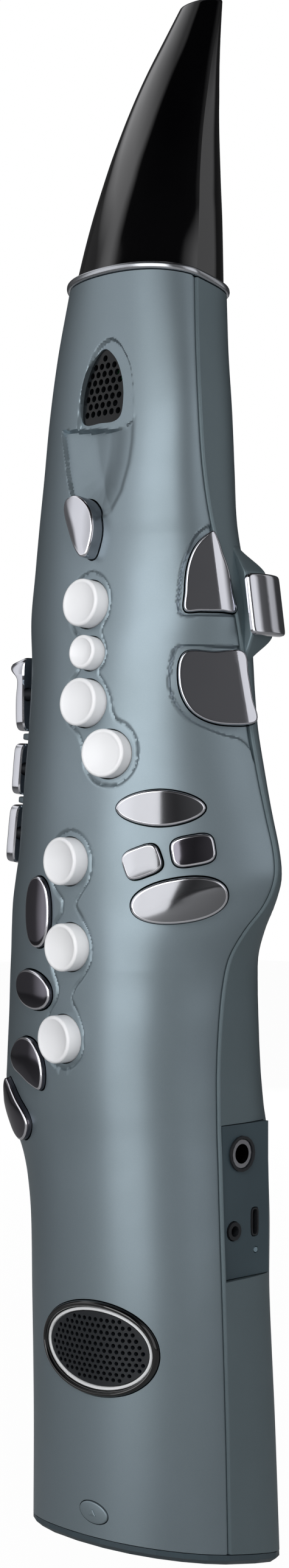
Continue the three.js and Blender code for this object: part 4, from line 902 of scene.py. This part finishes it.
def materials():
    """Every finish by name, made when first asked for."""
    if MATERIALS:
        return MATERIALS
    MATERIALS.update({
        "shell": make_material("Satin slate", "#84929a", "#818f96", 0.4, metallic=0.78, fleck=0.04, strength=0.05),
        # The front's slate paint, painted darker as shade on the back half
        "shaded_shell": make_material("Satin slate, back half, painted darker as shade", "#6f7e84", "#6c7b81", 0.4, metallic=0.7, fleck=0.03),
        "dark": make_material("Dark slate", "#3d4b52", "#39464d", 0.45, metallic=0.2),
        "silver": make_material("Satin silver", "#c3c6cb", "#b9bcc1", 0.24, metallic=1.0, strength=0.08,
                                stretch=(1, 1, 0.1)),
        "gloss": make_material("Gloss black", "#020203", "#030304", 0.07, coat=0.6, strength=0.01, spread=0.02),
        "black": make_material("Matt black", "#15171a", "#191b1f", 0.55, strength=0.15),
        "white": make_material("Satin white", "#f3f4f6", "#eff0f3", 0.34, coat=0.1, strength=0.03),
        "chrome": make_material("Chrome", "#d3d4da", "#cdced5", 0.1, **POLISHED),
        # Copy of the chrome painted dimmer, as painted shade on the table keys' reflections
        "chrome_painted_dim": make_material("Chrome, painted dim as shade", "#8e8f93", "#898a8e", 0.12, **POLISHED),
        # Brighter copy of the polished finish, a painted highlight on plate edges
        "rim": make_material("Painted rim highlight", "#eeeef4", "#e8e8ee", 0.14, **POLISHED),
        "vent": make_material("Vent black", "#0b0d0f", "#0e1012", 0.2, specular=0.25, strength=0.02),
        # Copy of the chrome painted darker, as painted shade on the left keys and the third table key
        "smoke": make_material("Chrome, painted dark as shade", "#76737b", "#6f6d75", 0.09, **POLISHED),
        "board": make_material("Circuit board", "#1d5a38", "#245f3e", 0.5, mottle=300.0),
        "cell": make_material("Cell sleeve", "#39608c", "#355a84", 0.4, mottle=80.0),
        "lamp": make_material("Lamp lens", "#6f828c", "#687b85", 0.3, coat=0.3),
        "mesh": make_material("Grille black", "#1d2125", "#191c20", 0.36, metallic=0.2, strength=0.1),
        "pale": make_material("Pale ring", "#e9ebec", "#e2e4e6", 0.4),
    })
    return MATERIALS


# Finishes of the CAD nodes that stay in view
PAINTED = dict(
    dark=("socket_panel", "thumb_hook", "base_cap"), chrome=("output_socket",), lamp=("status_lamp",),
    black=("output_nut", "phones_socket", "usb_socket", "thumb_rest", "mouthpiece", "top_collar", "breath_tube",
           "speaker_driver"),
    # the service cover takes the back half's slate, painted darker as shade
    board=("socket_board", "key_board", "breath_sensor"), cell=("battery_pack",), shaded_shell=("service_cover",),
    silver=("strap_ring", *(f"case_screw_{at}" for at in range(1, 7))))


def paint_fittings():
    for material, names in PAINTED.items():
        for name in names:
            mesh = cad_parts[name].data
            mesh.materials.clear()
            mesh.materials.append(materials()[material])


# Pieces

def palm_holes():
    return [plug_parts(outline_of(key), palm_place(key).flat, RUN_GAP, *DEEP_CUT) for key in PALM_KEYS]


def build_front_shell():
    span = [BASE_HEIGHT + GAP]
    while span[-1] < BODY_HEIGHT - GAP:
        span.append(span[-1] + (FINE_STEP if FINE_UP[0] < span[-1] < FINE_UP[1] else COARSE_STEP))
    span[-1] = BODY_HEIGHT - GAP
    parts = skin_solid("front", span, **FRONT_GRID, depth=front_depth, strip=STRIP_DEPTH)
    shell = piece("front_half", parts, "shell", "front_shell", sharp=0)
    holes = [plug_parts(outline_of(key), key_place(key).at, RUN_GAP, *CUT) for key in PLATE_KEYS]
    for around, up, radius in WHITE_KEYS:
        holes.append(plug_parts(disc(radius), front_place(around, up).flat, RUN_GAP, *CUT))
    holes += palm_holes()
    for spot, room, count in ((BUTTON, GAP, 72), (VENT, 0.0, 72), (SPEAKER, GAP, 96)):
        holes.append(plug_parts(outline_of(spot, count), key_place(spot).at, room, *CUT))
    holes += [stem_hole(side_place(up, height), SIDE_KEY) for _, up, height in SIDE_KEYS]
    carve(shell, holes)


def build_rear_shell():
    span = [*np.arange(BASE_HEIGHT + GAP, BODY_HEIGHT - GAP - 1, REAR_STEP), BODY_HEIGHT - GAP]
    parts = skin_solid("rear", span, **REAR_GRID)
    # Back half in the slate painted darker as shade
    shell = piece("rear_half", parts, "shaded_shell", "rear_shell", sharp=0)
    panel_x = body_section((PANEL["low"] + PANEL["high"]) / 2)["right"] - PANEL["sunk"]
    holes = [block_parts((panel_x - PANEL_CUT, PANEL["near"], PANEL["low"]),
                         (panel_x + PANEL_CUT, PANEL["far"], PANEL["high"])),
             stem_hole(block_place(), BLOCK, 40), cover_plug()]
    holes += [stem_hole(place, OCTAVE) for place in octave_places().values()]
    for spot in SCREWS:
        holes.append(rod_parts(rear_spot(*spot), (0, 1, 0), SCREW_HEAD + GAP, -SCREW_SEAT, PANEL_CUT, 40))
    carve(shell, holes + palm_holes())


def cover_plug():
    """Plug that cuts the battery cover's opening, curved like the back."""
    half = COVER["half"] + COVER["room"]
    heights = np.linspace(COVER["low"] - COVER["room"], COVER["high"] + COVER["room"], 30)
    grid = [rear_spot(x, up) for up in heights for x in np.linspace(half, -half, 24)]
    return [spot + (0, out, 0) for out in COVER_CUT for spot in grid], slab_faces(30, 24).tolist()


def palm_place(key):
    turn = math.radians(PALM_TURN)
    return Place(front_spot(key["around"], key["up"]), (math.cos(turn), -math.sin(turn), 0))


def side_place(up, height):
    """A seat beside the left wall, clear of it over the whole height of a key."""
    half = height / 2
    slope = (body_section(up + half)["left"] - body_section(up - half)["left"]) / height
    reach = max(-half_edge("front", body_section(up + step * half), "left", [along])[0][0] - slope * step * half
                for step in (-1, -0.5, 0, 0.5, 1) for along in (0.0, 0.16, 0.28, 0.4))
    return Place((-reach, -SIDE_KEY["width"] / 2 - SIDE_KEY["ahead"], up), (-1, 0, -slope))


def block_place():
    wall_x = body_section(BLOCK_UP)["right"]
    return Place((wall_x + BOSS["out"], BLOCK["y"], BLOCK_UP), (1, 0, BLOCK["lean"]))


def octave_places():
    return {"octave_key_up": rear_place(0, THUMB_UP + OCTAVE["above"]),
            "octave_key_down": rear_place(0, THUMB_UP - OCTAVE["above"])}


def build_white_keys():
    levels = rounded(WHITE_SINK, WHITE_RISE, WHITE_EDGE, steps=7, rings=1)[:-1]
    for share in WHITE_SHARES:
        dish = WHITE_DISH * (1 - share ** 2) * smooth_step(1 - share, 0, 0.1)
        levels.append((WHITE_EDGE, share, WHITE_RISE - dish))
    for at, (around, up, radius) in enumerate(WHITE_KEYS, 1):
        parts = pad_parts(disc(radius, 80), front_place(around, up).flat, levels)
        piece(f"white_cap_{at}", parts, "white", f"white_key_{at}", f"white_key_{at}", 50)


def plate_finish(key):
    # Painted shade: keys on the left and the third table key take darkened chrome, the other table keys dimmed chrome,
    # and the front key plain chrome
    if key["around"] < 0 or key["name"] == "table_key_3":
        return "smoke"
    return "chrome" if key["name"] == "front_key" else "chrome_painted_dim"


def build_plate_keys():
    for key in PLATE_KEYS:
        def at(right, rise, out, place=key_place(key), crease=key.get("crease", math.inf)):
            fall = max(0.0, right - crease) * PLATE_FALL if out > PLATE_FALL_START else 0.0
            return place.at(right, rise, out - fall)

        rings = 16 if "crease" in key else 8
        levels = rounded(PLATE_SINK, key["rise"], PLATE_EDGE, key["crown"] * CROWN_SHARE, rings=rings)
        parts = pad_parts(outline_of(key, PLATE_POINTS), at, levels)
        plate = piece(key["name"] + "_plate", parts, plate_finish(key), key["name"], key["name"], 50)
        paint_rim_highlight(plate)


def paint_rim_highlight(plate):
    """Painted highlight: a brighter polished finish on some rows of a plate's rounded edge."""
    plate.data.materials.append(materials()["rim"])
    for face in plate.data.polygons:
        face.material_index = int((face.index - 1) // PLATE_POINTS in HIGHLIGHT_ROWS)


def build_palm_keys():
    for key in PALM_KEYS:
        def at(right, rise, out, place=palm_place(key), key=key):
            past = right - key["crease"] + key["lean"] * rise
            if out > 0 and past > 0:
                out -= past * CREASE_FALL + past ** 2 * key["curl"]
            return place.flat(right, rise, out)

        parts = pad_parts(outline_of(key, 96), at, rounded(PALM_SINK, PALM_RISE, PALM_EDGE, steps=5, rings=18))
        piece(key["name"] + "_plate", parts, "chrome", key["name"], key["name"], 24)


def build_side_keys():
    low = SIDE_KEY["stand_off"]
    top = low + SIDE_KEY["thickness"]
    for name, up, height in SIDE_KEYS:
        place = side_place(up, height)

        def at(right, rise, out, place=place, half=height / 2, flared=name == FLARE["key"]):
            if flared and out > low + FLARE["foot"]:
                share = (out - low) / (top - low)
                flare = share * smooth_step(rise, half - FLARE["length"], half - FLARE["end"])
                dip = share * math.exp(-((rise - half + FLARE["dip_at"]) / FLARE["dip_length"]) ** 2)
                out += FLARE["out"] * flare - FLARE["dip"] * dip
                rise -= FLARE["drop"] * flare
            return place.flat(right, rise, out)

        levels = raised(low, SIDE_KEY["chamfer"], top, SIDE_KEY["edge"], 12)
        key = pad_parts(outline_of(dict(SIDE_KEY, height=height), 96), at, levels)
        parts = merged([key, stem_parts(place, SIDE_KEY, low + STEM_LAP)])
        bar = piece(name + "_bar", parts, "chrome", name, name)
        bar.data.materials.append(materials()["black"])
        for face in bar.data.polygons:
            face.material_index = int(face.index >= len(key[1]))


def build_tabs():
    """Small tabs of the front half between the side keys."""
    for at, up in enumerate(TABS_UP, 1):
        parts = pad_parts(outline_of(TAB, 48), side_place(up, TAB_SPAN).flat, TAB_LEVELS)
        piece(f"side_tab_{at}", parts, "shell")


def build_block_key():
    place = block_place()
    low = KEY_TRAVEL + GAP * 2

    def at(right, rise, out):
        dish = BLOCK["dish"] * (right / BLOCK["dish_half"]) ** 2 if out > low + 1 else 0
        return place.flat(right, rise, out - dish)

    levels = raised(low, BLOCK["chamfer"], low + BLOCK["thickness"], BLOCK["edge"], 10)
    key = pad_parts(outline_of(BLOCK, 120) - (0, BLOCK["drop"]), at, levels)
    parts = merged([key, stem_parts(place, BLOCK, low + STEM_LAP, 40)])
    piece("palm_key_2_block", parts, "chrome", "palm_key_2", "palm_key_2")


def build_boss():
    """Raised part of the wall that the block key's stem passes."""
    wall_x = body_section(BLOCK_UP)["right"]
    arc = np.linspace(0, math.pi / 2, 6)
    near = BOSS["near"]
    rows = []
    for up in np.linspace(BOSS["start"], BOSS["end"], 60):
        ends = min(up - BOSS["start"], BOSS["end"] - up) / BOSS["foot"]
        far = near + BOSS["depth"] * (BOSS["narrow"] + (1 - BOSS["narrow"]) * smooth_step(ends, 0.0, 1.0))
        foot = body_section(up)["right"] - wall_x - BOSS["sunk"]
        reach = boss_reach(up)
        edge = min(BOSS_EDGE["most"], max(BOSS_EDGE["least"], (reach - foot) * BOSS_EDGE["share"]))
        flat = reach - edge
        ring = [(foot, near), (flat, near)]
        ring += [(flat + edge * math.sin(a), near + edge - edge * math.cos(a)) for a in arc[1:]]
        ring += [(flat + edge * math.cos(a), far - edge + edge * math.sin(a)) for a in arc] + [(foot, far)]
        rows.append([(wall_x + x, y, up) for x, y in ring])
    # The boss takes the back half's slate, painted darker as shade
    boss = piece("block_boss", tube_parts(rows), "shaded_shell", sharp=0)
    carve(boss, [stem_hole(block_place(), BLOCK, 40)])


def boss_reach(up):
    """How far the boss stands out of the wall at a height: flat with curved ends."""
    for start, turn in ((BOSS["start"], 1), (BOSS["end"], -1)):
        end = start + turn * BOSS["foot"]
        if min(start, end) <= up <= max(start, end):
            t = np.linspace(0, 1, 60)
            low = body_section(start)["right"] - body_section(BLOCK_UP)["right"] - 0.5
            out = (1 - t) ** 2 * low + 2 * t * (1 - t) * (low + 0.4) + t ** 2 * boss_face(end)
            height = (1 - t) ** 2 * start + 2 * t * (1 - t) * start + t ** 2 * end
            return float(np.interp(up, height[::turn], out[::turn]))
    return boss_face(up)


def boss_face(up):
    return BOSS["out"] - (up - BLOCK_UP) * BLOCK["lean"]


def loop_points(section_kind, height, count, distance=0.0):
    """A whole section as one loop, counter-clockwise, moved inward by a distance."""
    front_arcs, front = edge_curve(section_kind + "front", height)
    rear_arcs, rear = edge_curve(section_kind + "rear", height)
    ahead = np.linspace(front_arcs[0], front_arcs[-1], count + 1)
    behind = np.linspace(rear_arcs[-1], rear_arcs[0], count + 1)
    loop = np.vstack([
        np.column_stack([np.interp(ahead, front_arcs, front[:, at]) for at in (0, 1)])[:-1],
        np.column_stack([np.interp(behind, rear_arcs, rear[:, at]) for at in (0, 1)])[:-1]])
    moved = inset(loop, distance)
    return [(x, y, lift(height, y)) for x, y in moved]


def build_cap():
    top = CAP_START + CAP_HEIGHT
    rows = [loop_points("cap ", height, 60, CAP_WALL) for height in np.linspace(top - CAP_ROOF, CAP_START, 24)]
    rows += [loop_points("cap ", height, 60) for height in np.linspace(CAP_START, top, 70)[:-1]]
    for angle in np.linspace(0, math.pi / 2, 6):
        height = top - CAP_EDGE * (1 - math.sin(angle))
        rows.append(loop_points("cap ", height, 60, CAP_EDGE * (1 - math.cos(angle))))
    piece("cap_horn", tube_parts(rows), "gloss", "mouthpiece_cap", "cap", 16)


def build_ring():
    profile = [(BODY_HEIGHT + RING_HEIGHT / 2 * (1 + math.sin(angle)),
                RING_ROUND * (1 - math.cos(angle)) - RING_PROUD)
               for angle in np.linspace(-math.pi / 2, math.pi / 2, 9)]
    profile += [(BODY_HEIGHT + RING_HEIGHT, WALL), (BODY_HEIGHT, WALL)]
    rows = [loop_points("", height, 70, distance) for height, distance in profile]
    piece("ring_band", band_parts(rows), "silver", "trim_ring")


def hole_centres(outline, pitch, room):
    """Staggered rows of hole centres that fit inside an outline."""
    reach = np.abs(outline).max()
    rows = int(math.ceil(reach / pitch)) + 1
    step = pitch * math.sin(math.pi / 3)
    centres = np.array([((col + (0.5 if row % 2 else 0)) * pitch, row * step)
                        for row in range(-rows, rows + 1) for col in range(-rows, rows + 1)])
    return centres[polygon_distance(centres, outline) < -room]


def grille_piece(name, node, material, place, outline, grille):
    """Perforated plate, cut through from a closed pad."""
    rim, face = grille["rim"], grille["face"]
    back = face - grille["thickness"]
    levels = [(rim, 1.0, back)] + [(rim, share, face) for share in (1.0, 0.8, 0.6, 0.4, 0.2, 0.0)]
    plate = piece(name, pad_parts(outline, place.at, levels), material, node, sharp=0)
    centres = hole_centres(inset(outline, rim), grille["pitch"], grille["room"])
    hole = disc(grille["radius"], 16)
    carve(plate, [plug_parts(hole + centre, place.at, 0.0, back - 2, face + 2) for centre in centres], 30)


def build_vent():
    outline = inset(outline_of(VENT, 80), VENT_ROOM)
    grille_piece("vent_mesh", "vent_grille", "vent", key_place(VENT), outline, VENT_GRILLE)


def build_speaker():
    place, outline = key_place(SPEAKER), outline_of(SPEAKER, 120)

    def band(profile):
        return band_parts([[place.at(x, y, out) for x, y in inset(outline, step)] for step, out in profile])

    width, depth = BEZEL["width"], BEZEL["depth"]
    bezel = [(width / 2 * (1 - math.cos(angle)), BEZEL["proud"] * math.sin(angle) + BEZEL["lift"])
             for angle in np.linspace(0, math.pi, 12)]
    bezel += [(width, -depth), (0.0, -depth)]
    piece("badge_bezel", band(bezel), "gloss", "speaker_bezel", sharp=50)
    piece("badge_ring", band(BADGE_RING), "pale", "speaker_ring", sharp=50)
    grille_piece("badge_mesh", "speaker_grille", "mesh", place, outline, SPEAKER_GRILLE)


def build_button():
    place = key_place(BUTTON)
    levels = rounded(BUTTON["sink"], BUTTON["rise"], BUTTON["edge"], BUTTON["crown"], 5, 6)
    parts = pad_parts(outline_of(BUTTON), place.at, levels)
    piece("low_button_cap", parts, "shell", "low_button", "low_button", 50)
    parts = pad_parts(even(np.array(MARK), 36), place.at, MARK_LEVELS)
    piece("low_button_mark", parts, "shell", body="low_button", sharp=30)


def build_octave_keys():
    low = OCTAVE["travel"] + GAP * 2
    levels = raised(low, OCTAVE["chamfer"], low + OCTAVE["rise"], OCTAVE["edge"], 6)
    for name, place in octave_places().items():
        key = pad_parts(outline_of(OCTAVE, 80), place.flat, levels)
        parts = merged([key, stem_parts(place, OCTAVE, low + STEM_LAP)])
        piece(name + "_plate", parts, "chrome", name, name)


# Studio

CAMERA = dict(azimuth=45.0, eye=241.0, distance=771.0, focal_px=3712.0, axis_px=228.0, horizon_px=1369.0)
PICTURE = (475.0, 2576.0)
SENSOR = 36.0


def build_camera():
    turn = math.radians(CAMERA["azimuth"])
    right = np.array((math.cos(turn), math.sin(turn), 0))
    back = np.array((math.sin(turn), -math.cos(turn), 0))
    aside = (PICTURE[0] / 2 - CAMERA["axis_px"]) / CAMERA["focal_px"] * CAMERA["distance"]
    spot = back * CAMERA["distance"] + right * aside + (0, 0, CAMERA["eye"])
    data = bpy.data.cameras.new("Camera")
    camera = bpy.data.objects.new("Camera", data)
    bpy.context.scene.collection.objects.link(camera)
    camera.location = (spot - ORIGIN) * MM
    camera.rotation_euler = (math.pi / 2, 0, turn)
    data.sensor_fit = "VERTICAL"
    data.sensor_height = SENSOR
    data.lens = SENSOR * CAMERA["focal_px"] / PICTURE[1]
    data.shift_y = (CAMERA["horizon_px"] - PICTURE[1] / 2) / PICTURE[1]
    data.clip_start = 0.01
    bpy.context.scene.camera = camera


# Soft lights that nothing mirrors: azimuth, elevation, width and share of the fill power
FILLS = [("Front", 62, 2, 0.5, 1.7), ("Side", 108, 10, 0.3, 1.0), ("Back", 225, 15, 0.6, 2.0)]


def area_light(name, azimuth, elevation, distance, size, power, mirrored=False, aim=(0, 0, 240)):
    """Soft light at a direction from the point it is aimed at, in degrees and metres."""
    turn, tilt = math.radians(azimuth), math.radians(elevation)
    spot = Vector((math.sin(turn) * math.cos(tilt), -math.cos(turn) * math.cos(tilt), math.sin(tilt))) * distance
    data = bpy.data.lights.new(name, "AREA")
    data.shape = "RECTANGLE"
    data.size, data.size_y = size
    data.energy = power
    lamp = bpy.data.objects.new(name, data)
    bpy.context.scene.collection.objects.link(lamp)
    target = Vector((np.asarray(aim) - ORIGIN) * MM)
    lamp.location = spot + target
    lamp.rotation_euler = (target - lamp.location).to_track_quat("-Z", "Y").to_euler()
    lamp.visible_glossy = mirrored


# Brightness of the tent by azimuth, low down and high up, and the elevations between which it changes
TENT_LOW = [
    (-90, 0.09), (-64, 0.14), (-53, 0.95), (-36, 1.0), (-22, 0.7), (-10, 0.55), (2, 0.4), (10, 0.07), (34, 0.12),
    (48, 0.065), (60, 0.14), (74, 0.2), (83, 0.9), (110, 1.0), (118, 0.12), (134, 0.08), (140, 0.6), (152, 0.5),
    (158, 0.05), (225, 0.03), (262, 0.05), (270, 0.09),
]
TENT_HIGH = [
    (-90, 0.95), (-54, 0.9), (-44, 0.02), (100, 0.02), (112, 0.3), (140, 0.3), (150, 0.04), (240, 0.03),
    (252, 0.06), (260, 0.8), (270, 0.95),
]
TENT_RADIUS = 2.5
TENT_SPLIT = (33, 39)
TENT_FADE = (45, 60)
TENT_DIM = 0.25


def tone_ramp(tree, table, turn):
    """Brightness by direction round the object, from 90 degrees left of the front."""
    ramp = add_node(tree, "ShaderNodeValToRGB", {"Fac": turn})
    stops = ramp.color_ramp.elements
    while len(stops) > 1:
        stops.remove(stops[-1])
    for at, (azimuth, value) in enumerate(table):
        place = (azimuth + 90) / 360
        stop = stops[0] if at == 0 else stops.new(place)
        stop.position = place
        stop.color = (value, value, value * 1.02, 1)
    return ramp.outputs["Color"]


def by_elevation(tree, height, elevations, low=0.0, high=1.0):
    start, end = (TENT_RADIUS * math.sin(math.radians(angle)) for angle in elevations)
    return add_node(tree, "ShaderNodeMapRange", {
        "Value": height, "From Min": start, "From Max": end, "To Min": low, "To Max": high}).outputs["Result"]


def build_tent():
    """Studio tent of dark and light flags, seen in reflections only."""
    rows, columns = 24, 72
    verts = [(TENT_RADIUS * math.cos(tilt) * math.cos(turn), TENT_RADIUS * math.cos(tilt) * math.sin(turn),
              TENT_RADIUS * math.sin(tilt))
             for tilt in np.radians(np.linspace(-70, 85, rows + 1)) for turn in np.arange(columns) / columns * math.tau]
    tent = linked_object("Studio tent", verts, ring_faces(rows + 1, columns))
    material = bpy.data.materials.new("Studio tent")
    tree = node_tree(material)
    tree.nodes.clear()
    place = add_node(tree, "ShaderNodeTexCoord").outputs["Object"]
    turn = add_node(tree, "ShaderNodeTexGradient", {"Vector": place}, gradient_type="RADIAL").outputs["Fac"]
    height = add_node(tree, "ShaderNodeSeparateXYZ", {"Vector": place}).outputs["Z"]
    mix = add_node(tree, "ShaderNodeMix", {
        "Factor": by_elevation(tree, height, TENT_SPLIT), "A": tone_ramp(tree, TENT_LOW, turn),
        "B": tone_ramp(tree, TENT_HIGH, turn)}, data_type="RGBA")
    glow = add_node(tree, "ShaderNodeEmission", {
        "Color": mix.outputs["Result"], "Strength": by_elevation(tree, height, TENT_FADE, 1.0, TENT_DIM)})
    add_node(tree, "ShaderNodeOutputMaterial", {"Surface": glow.outputs[0]})
    tent.data.materials.append(material)
    tent.visible_camera = tent.visible_diffuse = tent.visible_shadow = tent.visible_transmission = False
    tent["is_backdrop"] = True


FLOOR_HALF = 3.0
FLOOR_GLOW = 1.035
FLOOR_GLOW_SHARE = 0.94


def build_floor(low):
    """Pale floor, which the camera sees as nearly plain white."""
    corners = [(x * FLOOR_HALF, y * FLOOR_HALF, low) for x, y in ((-1, -1), (1, -1), (1, 1), (-1, 1))]
    floor = linked_object("Floor", corners, [(0, 1, 2, 3)])
    material = bpy.data.materials.new("Pale floor")
    tree = node_tree(material)
    shader = tree.nodes["Principled BSDF"]
    feed(tree, shader, {"Base Color": (0.5, 0.5, 0.5, 1), "Roughness": 0.9, "Specular IOR Level": 0.0})
    glow = add_node(tree, "ShaderNodeEmission", {"Strength": FLOOR_GLOW})
    path = add_node(tree, "ShaderNodeLightPath")
    seen = add_node(tree, "ShaderNodeMath", {
        0: path.outputs["Is Camera Ray"], 1: FLOOR_GLOW_SHARE}, operation="MULTIPLY")
    mix = add_node(tree, "ShaderNodeMixShader", {"Fac": seen.outputs[0], 1: shader.outputs[0], 2: glow.outputs[0]})
    feed(tree, tree.nodes["Material Output"], {"Surface": mix.outputs[0]})
    floor.data.materials.append(material)
    floor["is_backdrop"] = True


def build_world(strength):
    """Soft light from all round. Rays that the camera sends, or sees mirrored, meet plain white."""
    world = bpy.data.worlds.new("Studio")
    bpy.context.scene.world = world
    tree = node_tree(world)
    tree.nodes.clear()
    path = add_node(tree, "ShaderNodeLightPath")
    seen = path.outputs["Is Camera Ray"]
    for ray in ("Is Glossy Ray", "Is Transmission Ray"):
        seen = add_node(tree, "ShaderNodeMath", {0: seen, 1: path.outputs[ray]}, operation="MAXIMUM").outputs[0]
    soft = add_node(tree, "ShaderNodeBackground", {"Color": (0.95, 0.97, 1.0, 1), "Strength": strength})
    white = add_node(tree, "ShaderNodeBackground", {"Color": (1, 1, 1, 1)})
    mix = add_node(tree, "ShaderNodeMixShader", {"Fac": seen, 1: soft.outputs[0], 2: white.outputs[0]})
    add_node(tree, "ShaderNodeOutputWorld", {"Surface": mix.outputs[0]})


# Add-on parts

class ControllerStudio(bpy.types.PropertyGroup):
    world_strength: bpy.props.FloatProperty(
        name="Ambient", description="Strength of the soft light from all round", default=0.06, min=0, max=2)
    key_power: bpy.props.FloatProperty(
        name="Key light", description="Power of the large soft light in front", default=8.5, min=0, unit="POWER")
    top_power: bpy.props.FloatProperty(
        name="Top light", description="Power of the raised light over the vent", default=4.6, min=0, unit="POWER")
    fill_power: bpy.props.FloatProperty(
        name="Fill lights", description="Power of each soft light that no piece mirrors", default=3.6, min=0,
        unit="POWER")
    floor_drop: bpy.props.FloatProperty(
        name="Floor drop", description="Space between the base and the floor", default=0.02, min=0, unit="LENGTH")


class WC_OT_shells(bpy.types.Operator):
    """Build the two moulded halves of the body"""
    bl_idname = "controller.shells"
    bl_label = "Body halves"

    def execute(self, context):
        build_front_shell()
        build_rear_shell()
        return {"FINISHED"}


class WC_OT_top(bpy.types.Operator):
    """Build the mouthpiece cap and the silver ring"""
    bl_idname = "controller.top"
    bl_label = "Cap and ring"

    def execute(self, context):
        build_cap()
        build_ring()
        return {"FINISHED"}


class WC_OT_front_keys(bpy.types.Operator):
    """Build the round, teardrop, table and low keys of the front"""
    bl_idname = "controller.front_keys"
    bl_label = "Front keys"

    def execute(self, context):
        build_white_keys()
        build_plate_keys()
        build_button()
        return {"FINISHED"}


class WC_OT_edge_keys(bpy.types.Operator):
    """Build the palm keys, the block key with its boss, and the side keys"""
    bl_idname = "controller.edge_keys"
    bl_label = "Edge keys"

    def execute(self, context):
        build_palm_keys()
        build_block_key()
        build_boss()
        build_side_keys()
        build_tabs()
        return {"FINISHED"}


class WC_OT_grilles(bpy.types.Operator):
    """Build the vent grille and the speaker badge"""
    bl_idname = "controller.grilles"
    bl_label = "Grilles"

    def execute(self, context):
        build_vent()
        build_speaker()
        return {"FINISHED"}


class WC_OT_fittings(bpy.types.Operator):
    """Finish the sockets, the back and what lies inside"""
    bl_idname = "controller.fittings"
    bl_label = "Sockets, back and inside"

    def execute(self, context):
        paint_fittings()
        build_octave_keys()
        return {"FINISHED"}


class WC_OT_studio(bpy.types.Operator):
    """Set up the camera, lights, floor and background"""
    bl_idname = "controller.studio"
    bl_label = "Studio"

    def execute(self, context):
        settings = context.scene.controller_studio
        build_camera()
        build_floor(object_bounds()[0].z - settings.floor_drop)
        build_world(settings.world_strength)
        area_light("Key", 14, 8, 1.2, (1.05, 1.05), settings.key_power, mirrored=True)
        area_light("Top", 46, 34, 1.2, (0.4, 0.5), settings.top_power, aim=(0, 0, 400))
        for name, azimuth, elevation, width, share in FILLS:
            area_light(name, azimuth, elevation, 1.5, (width, 1.2), settings.fill_power * share)
        build_tent()
        context.scene.view_settings.view_transform = "Standard"
        return {"FINISHED"}


class WC_PT_panel(bpy.types.Panel):
    """Sidebar panel that builds each group of pieces"""
    bl_label = "Wind controller"
    bl_idname = "WC_PT_panel"
    bl_space_type = "VIEW_3D"
    bl_region_type = "UI"
    bl_category = "Wind controller"

    def draw(self, context):
        layout = self.layout
        settings = context.scene.controller_studio
        for name in ("world_strength", "key_power", "top_power", "fill_power", "floor_drop"):
            layout.prop(settings, name)
        for operator in OPERATORS:
            layout.operator(operator.bl_idname)


OPERATORS = (WC_OT_shells, WC_OT_top, WC_OT_front_keys, WC_OT_edge_keys, WC_OT_grilles, WC_OT_fittings, WC_OT_studio)
CLASSES = (ControllerStudio, *OPERATORS, WC_PT_panel)


def register():
    for cls in CLASSES:
        bpy.utils.register_class(cls)
    bpy.types.Scene.controller_studio = bpy.props.PointerProperty(type=ControllerStudio)


def unregister():
    del bpy.types.Scene.controller_studio
    for cls in reversed(CLASSES):
        bpy.utils.unregister_class(cls)


def main():
    register()
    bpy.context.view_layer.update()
    bpy.ops.controller.shells()
    bpy.ops.controller.top()
    bpy.ops.controller.front_keys()
    bpy.ops.controller.edge_keys()
    bpy.ops.controller.grilles()
    bpy.ops.controller.fittings()
    bpy.ops.controller.studio()


if __name__ == "__main__":
    main()
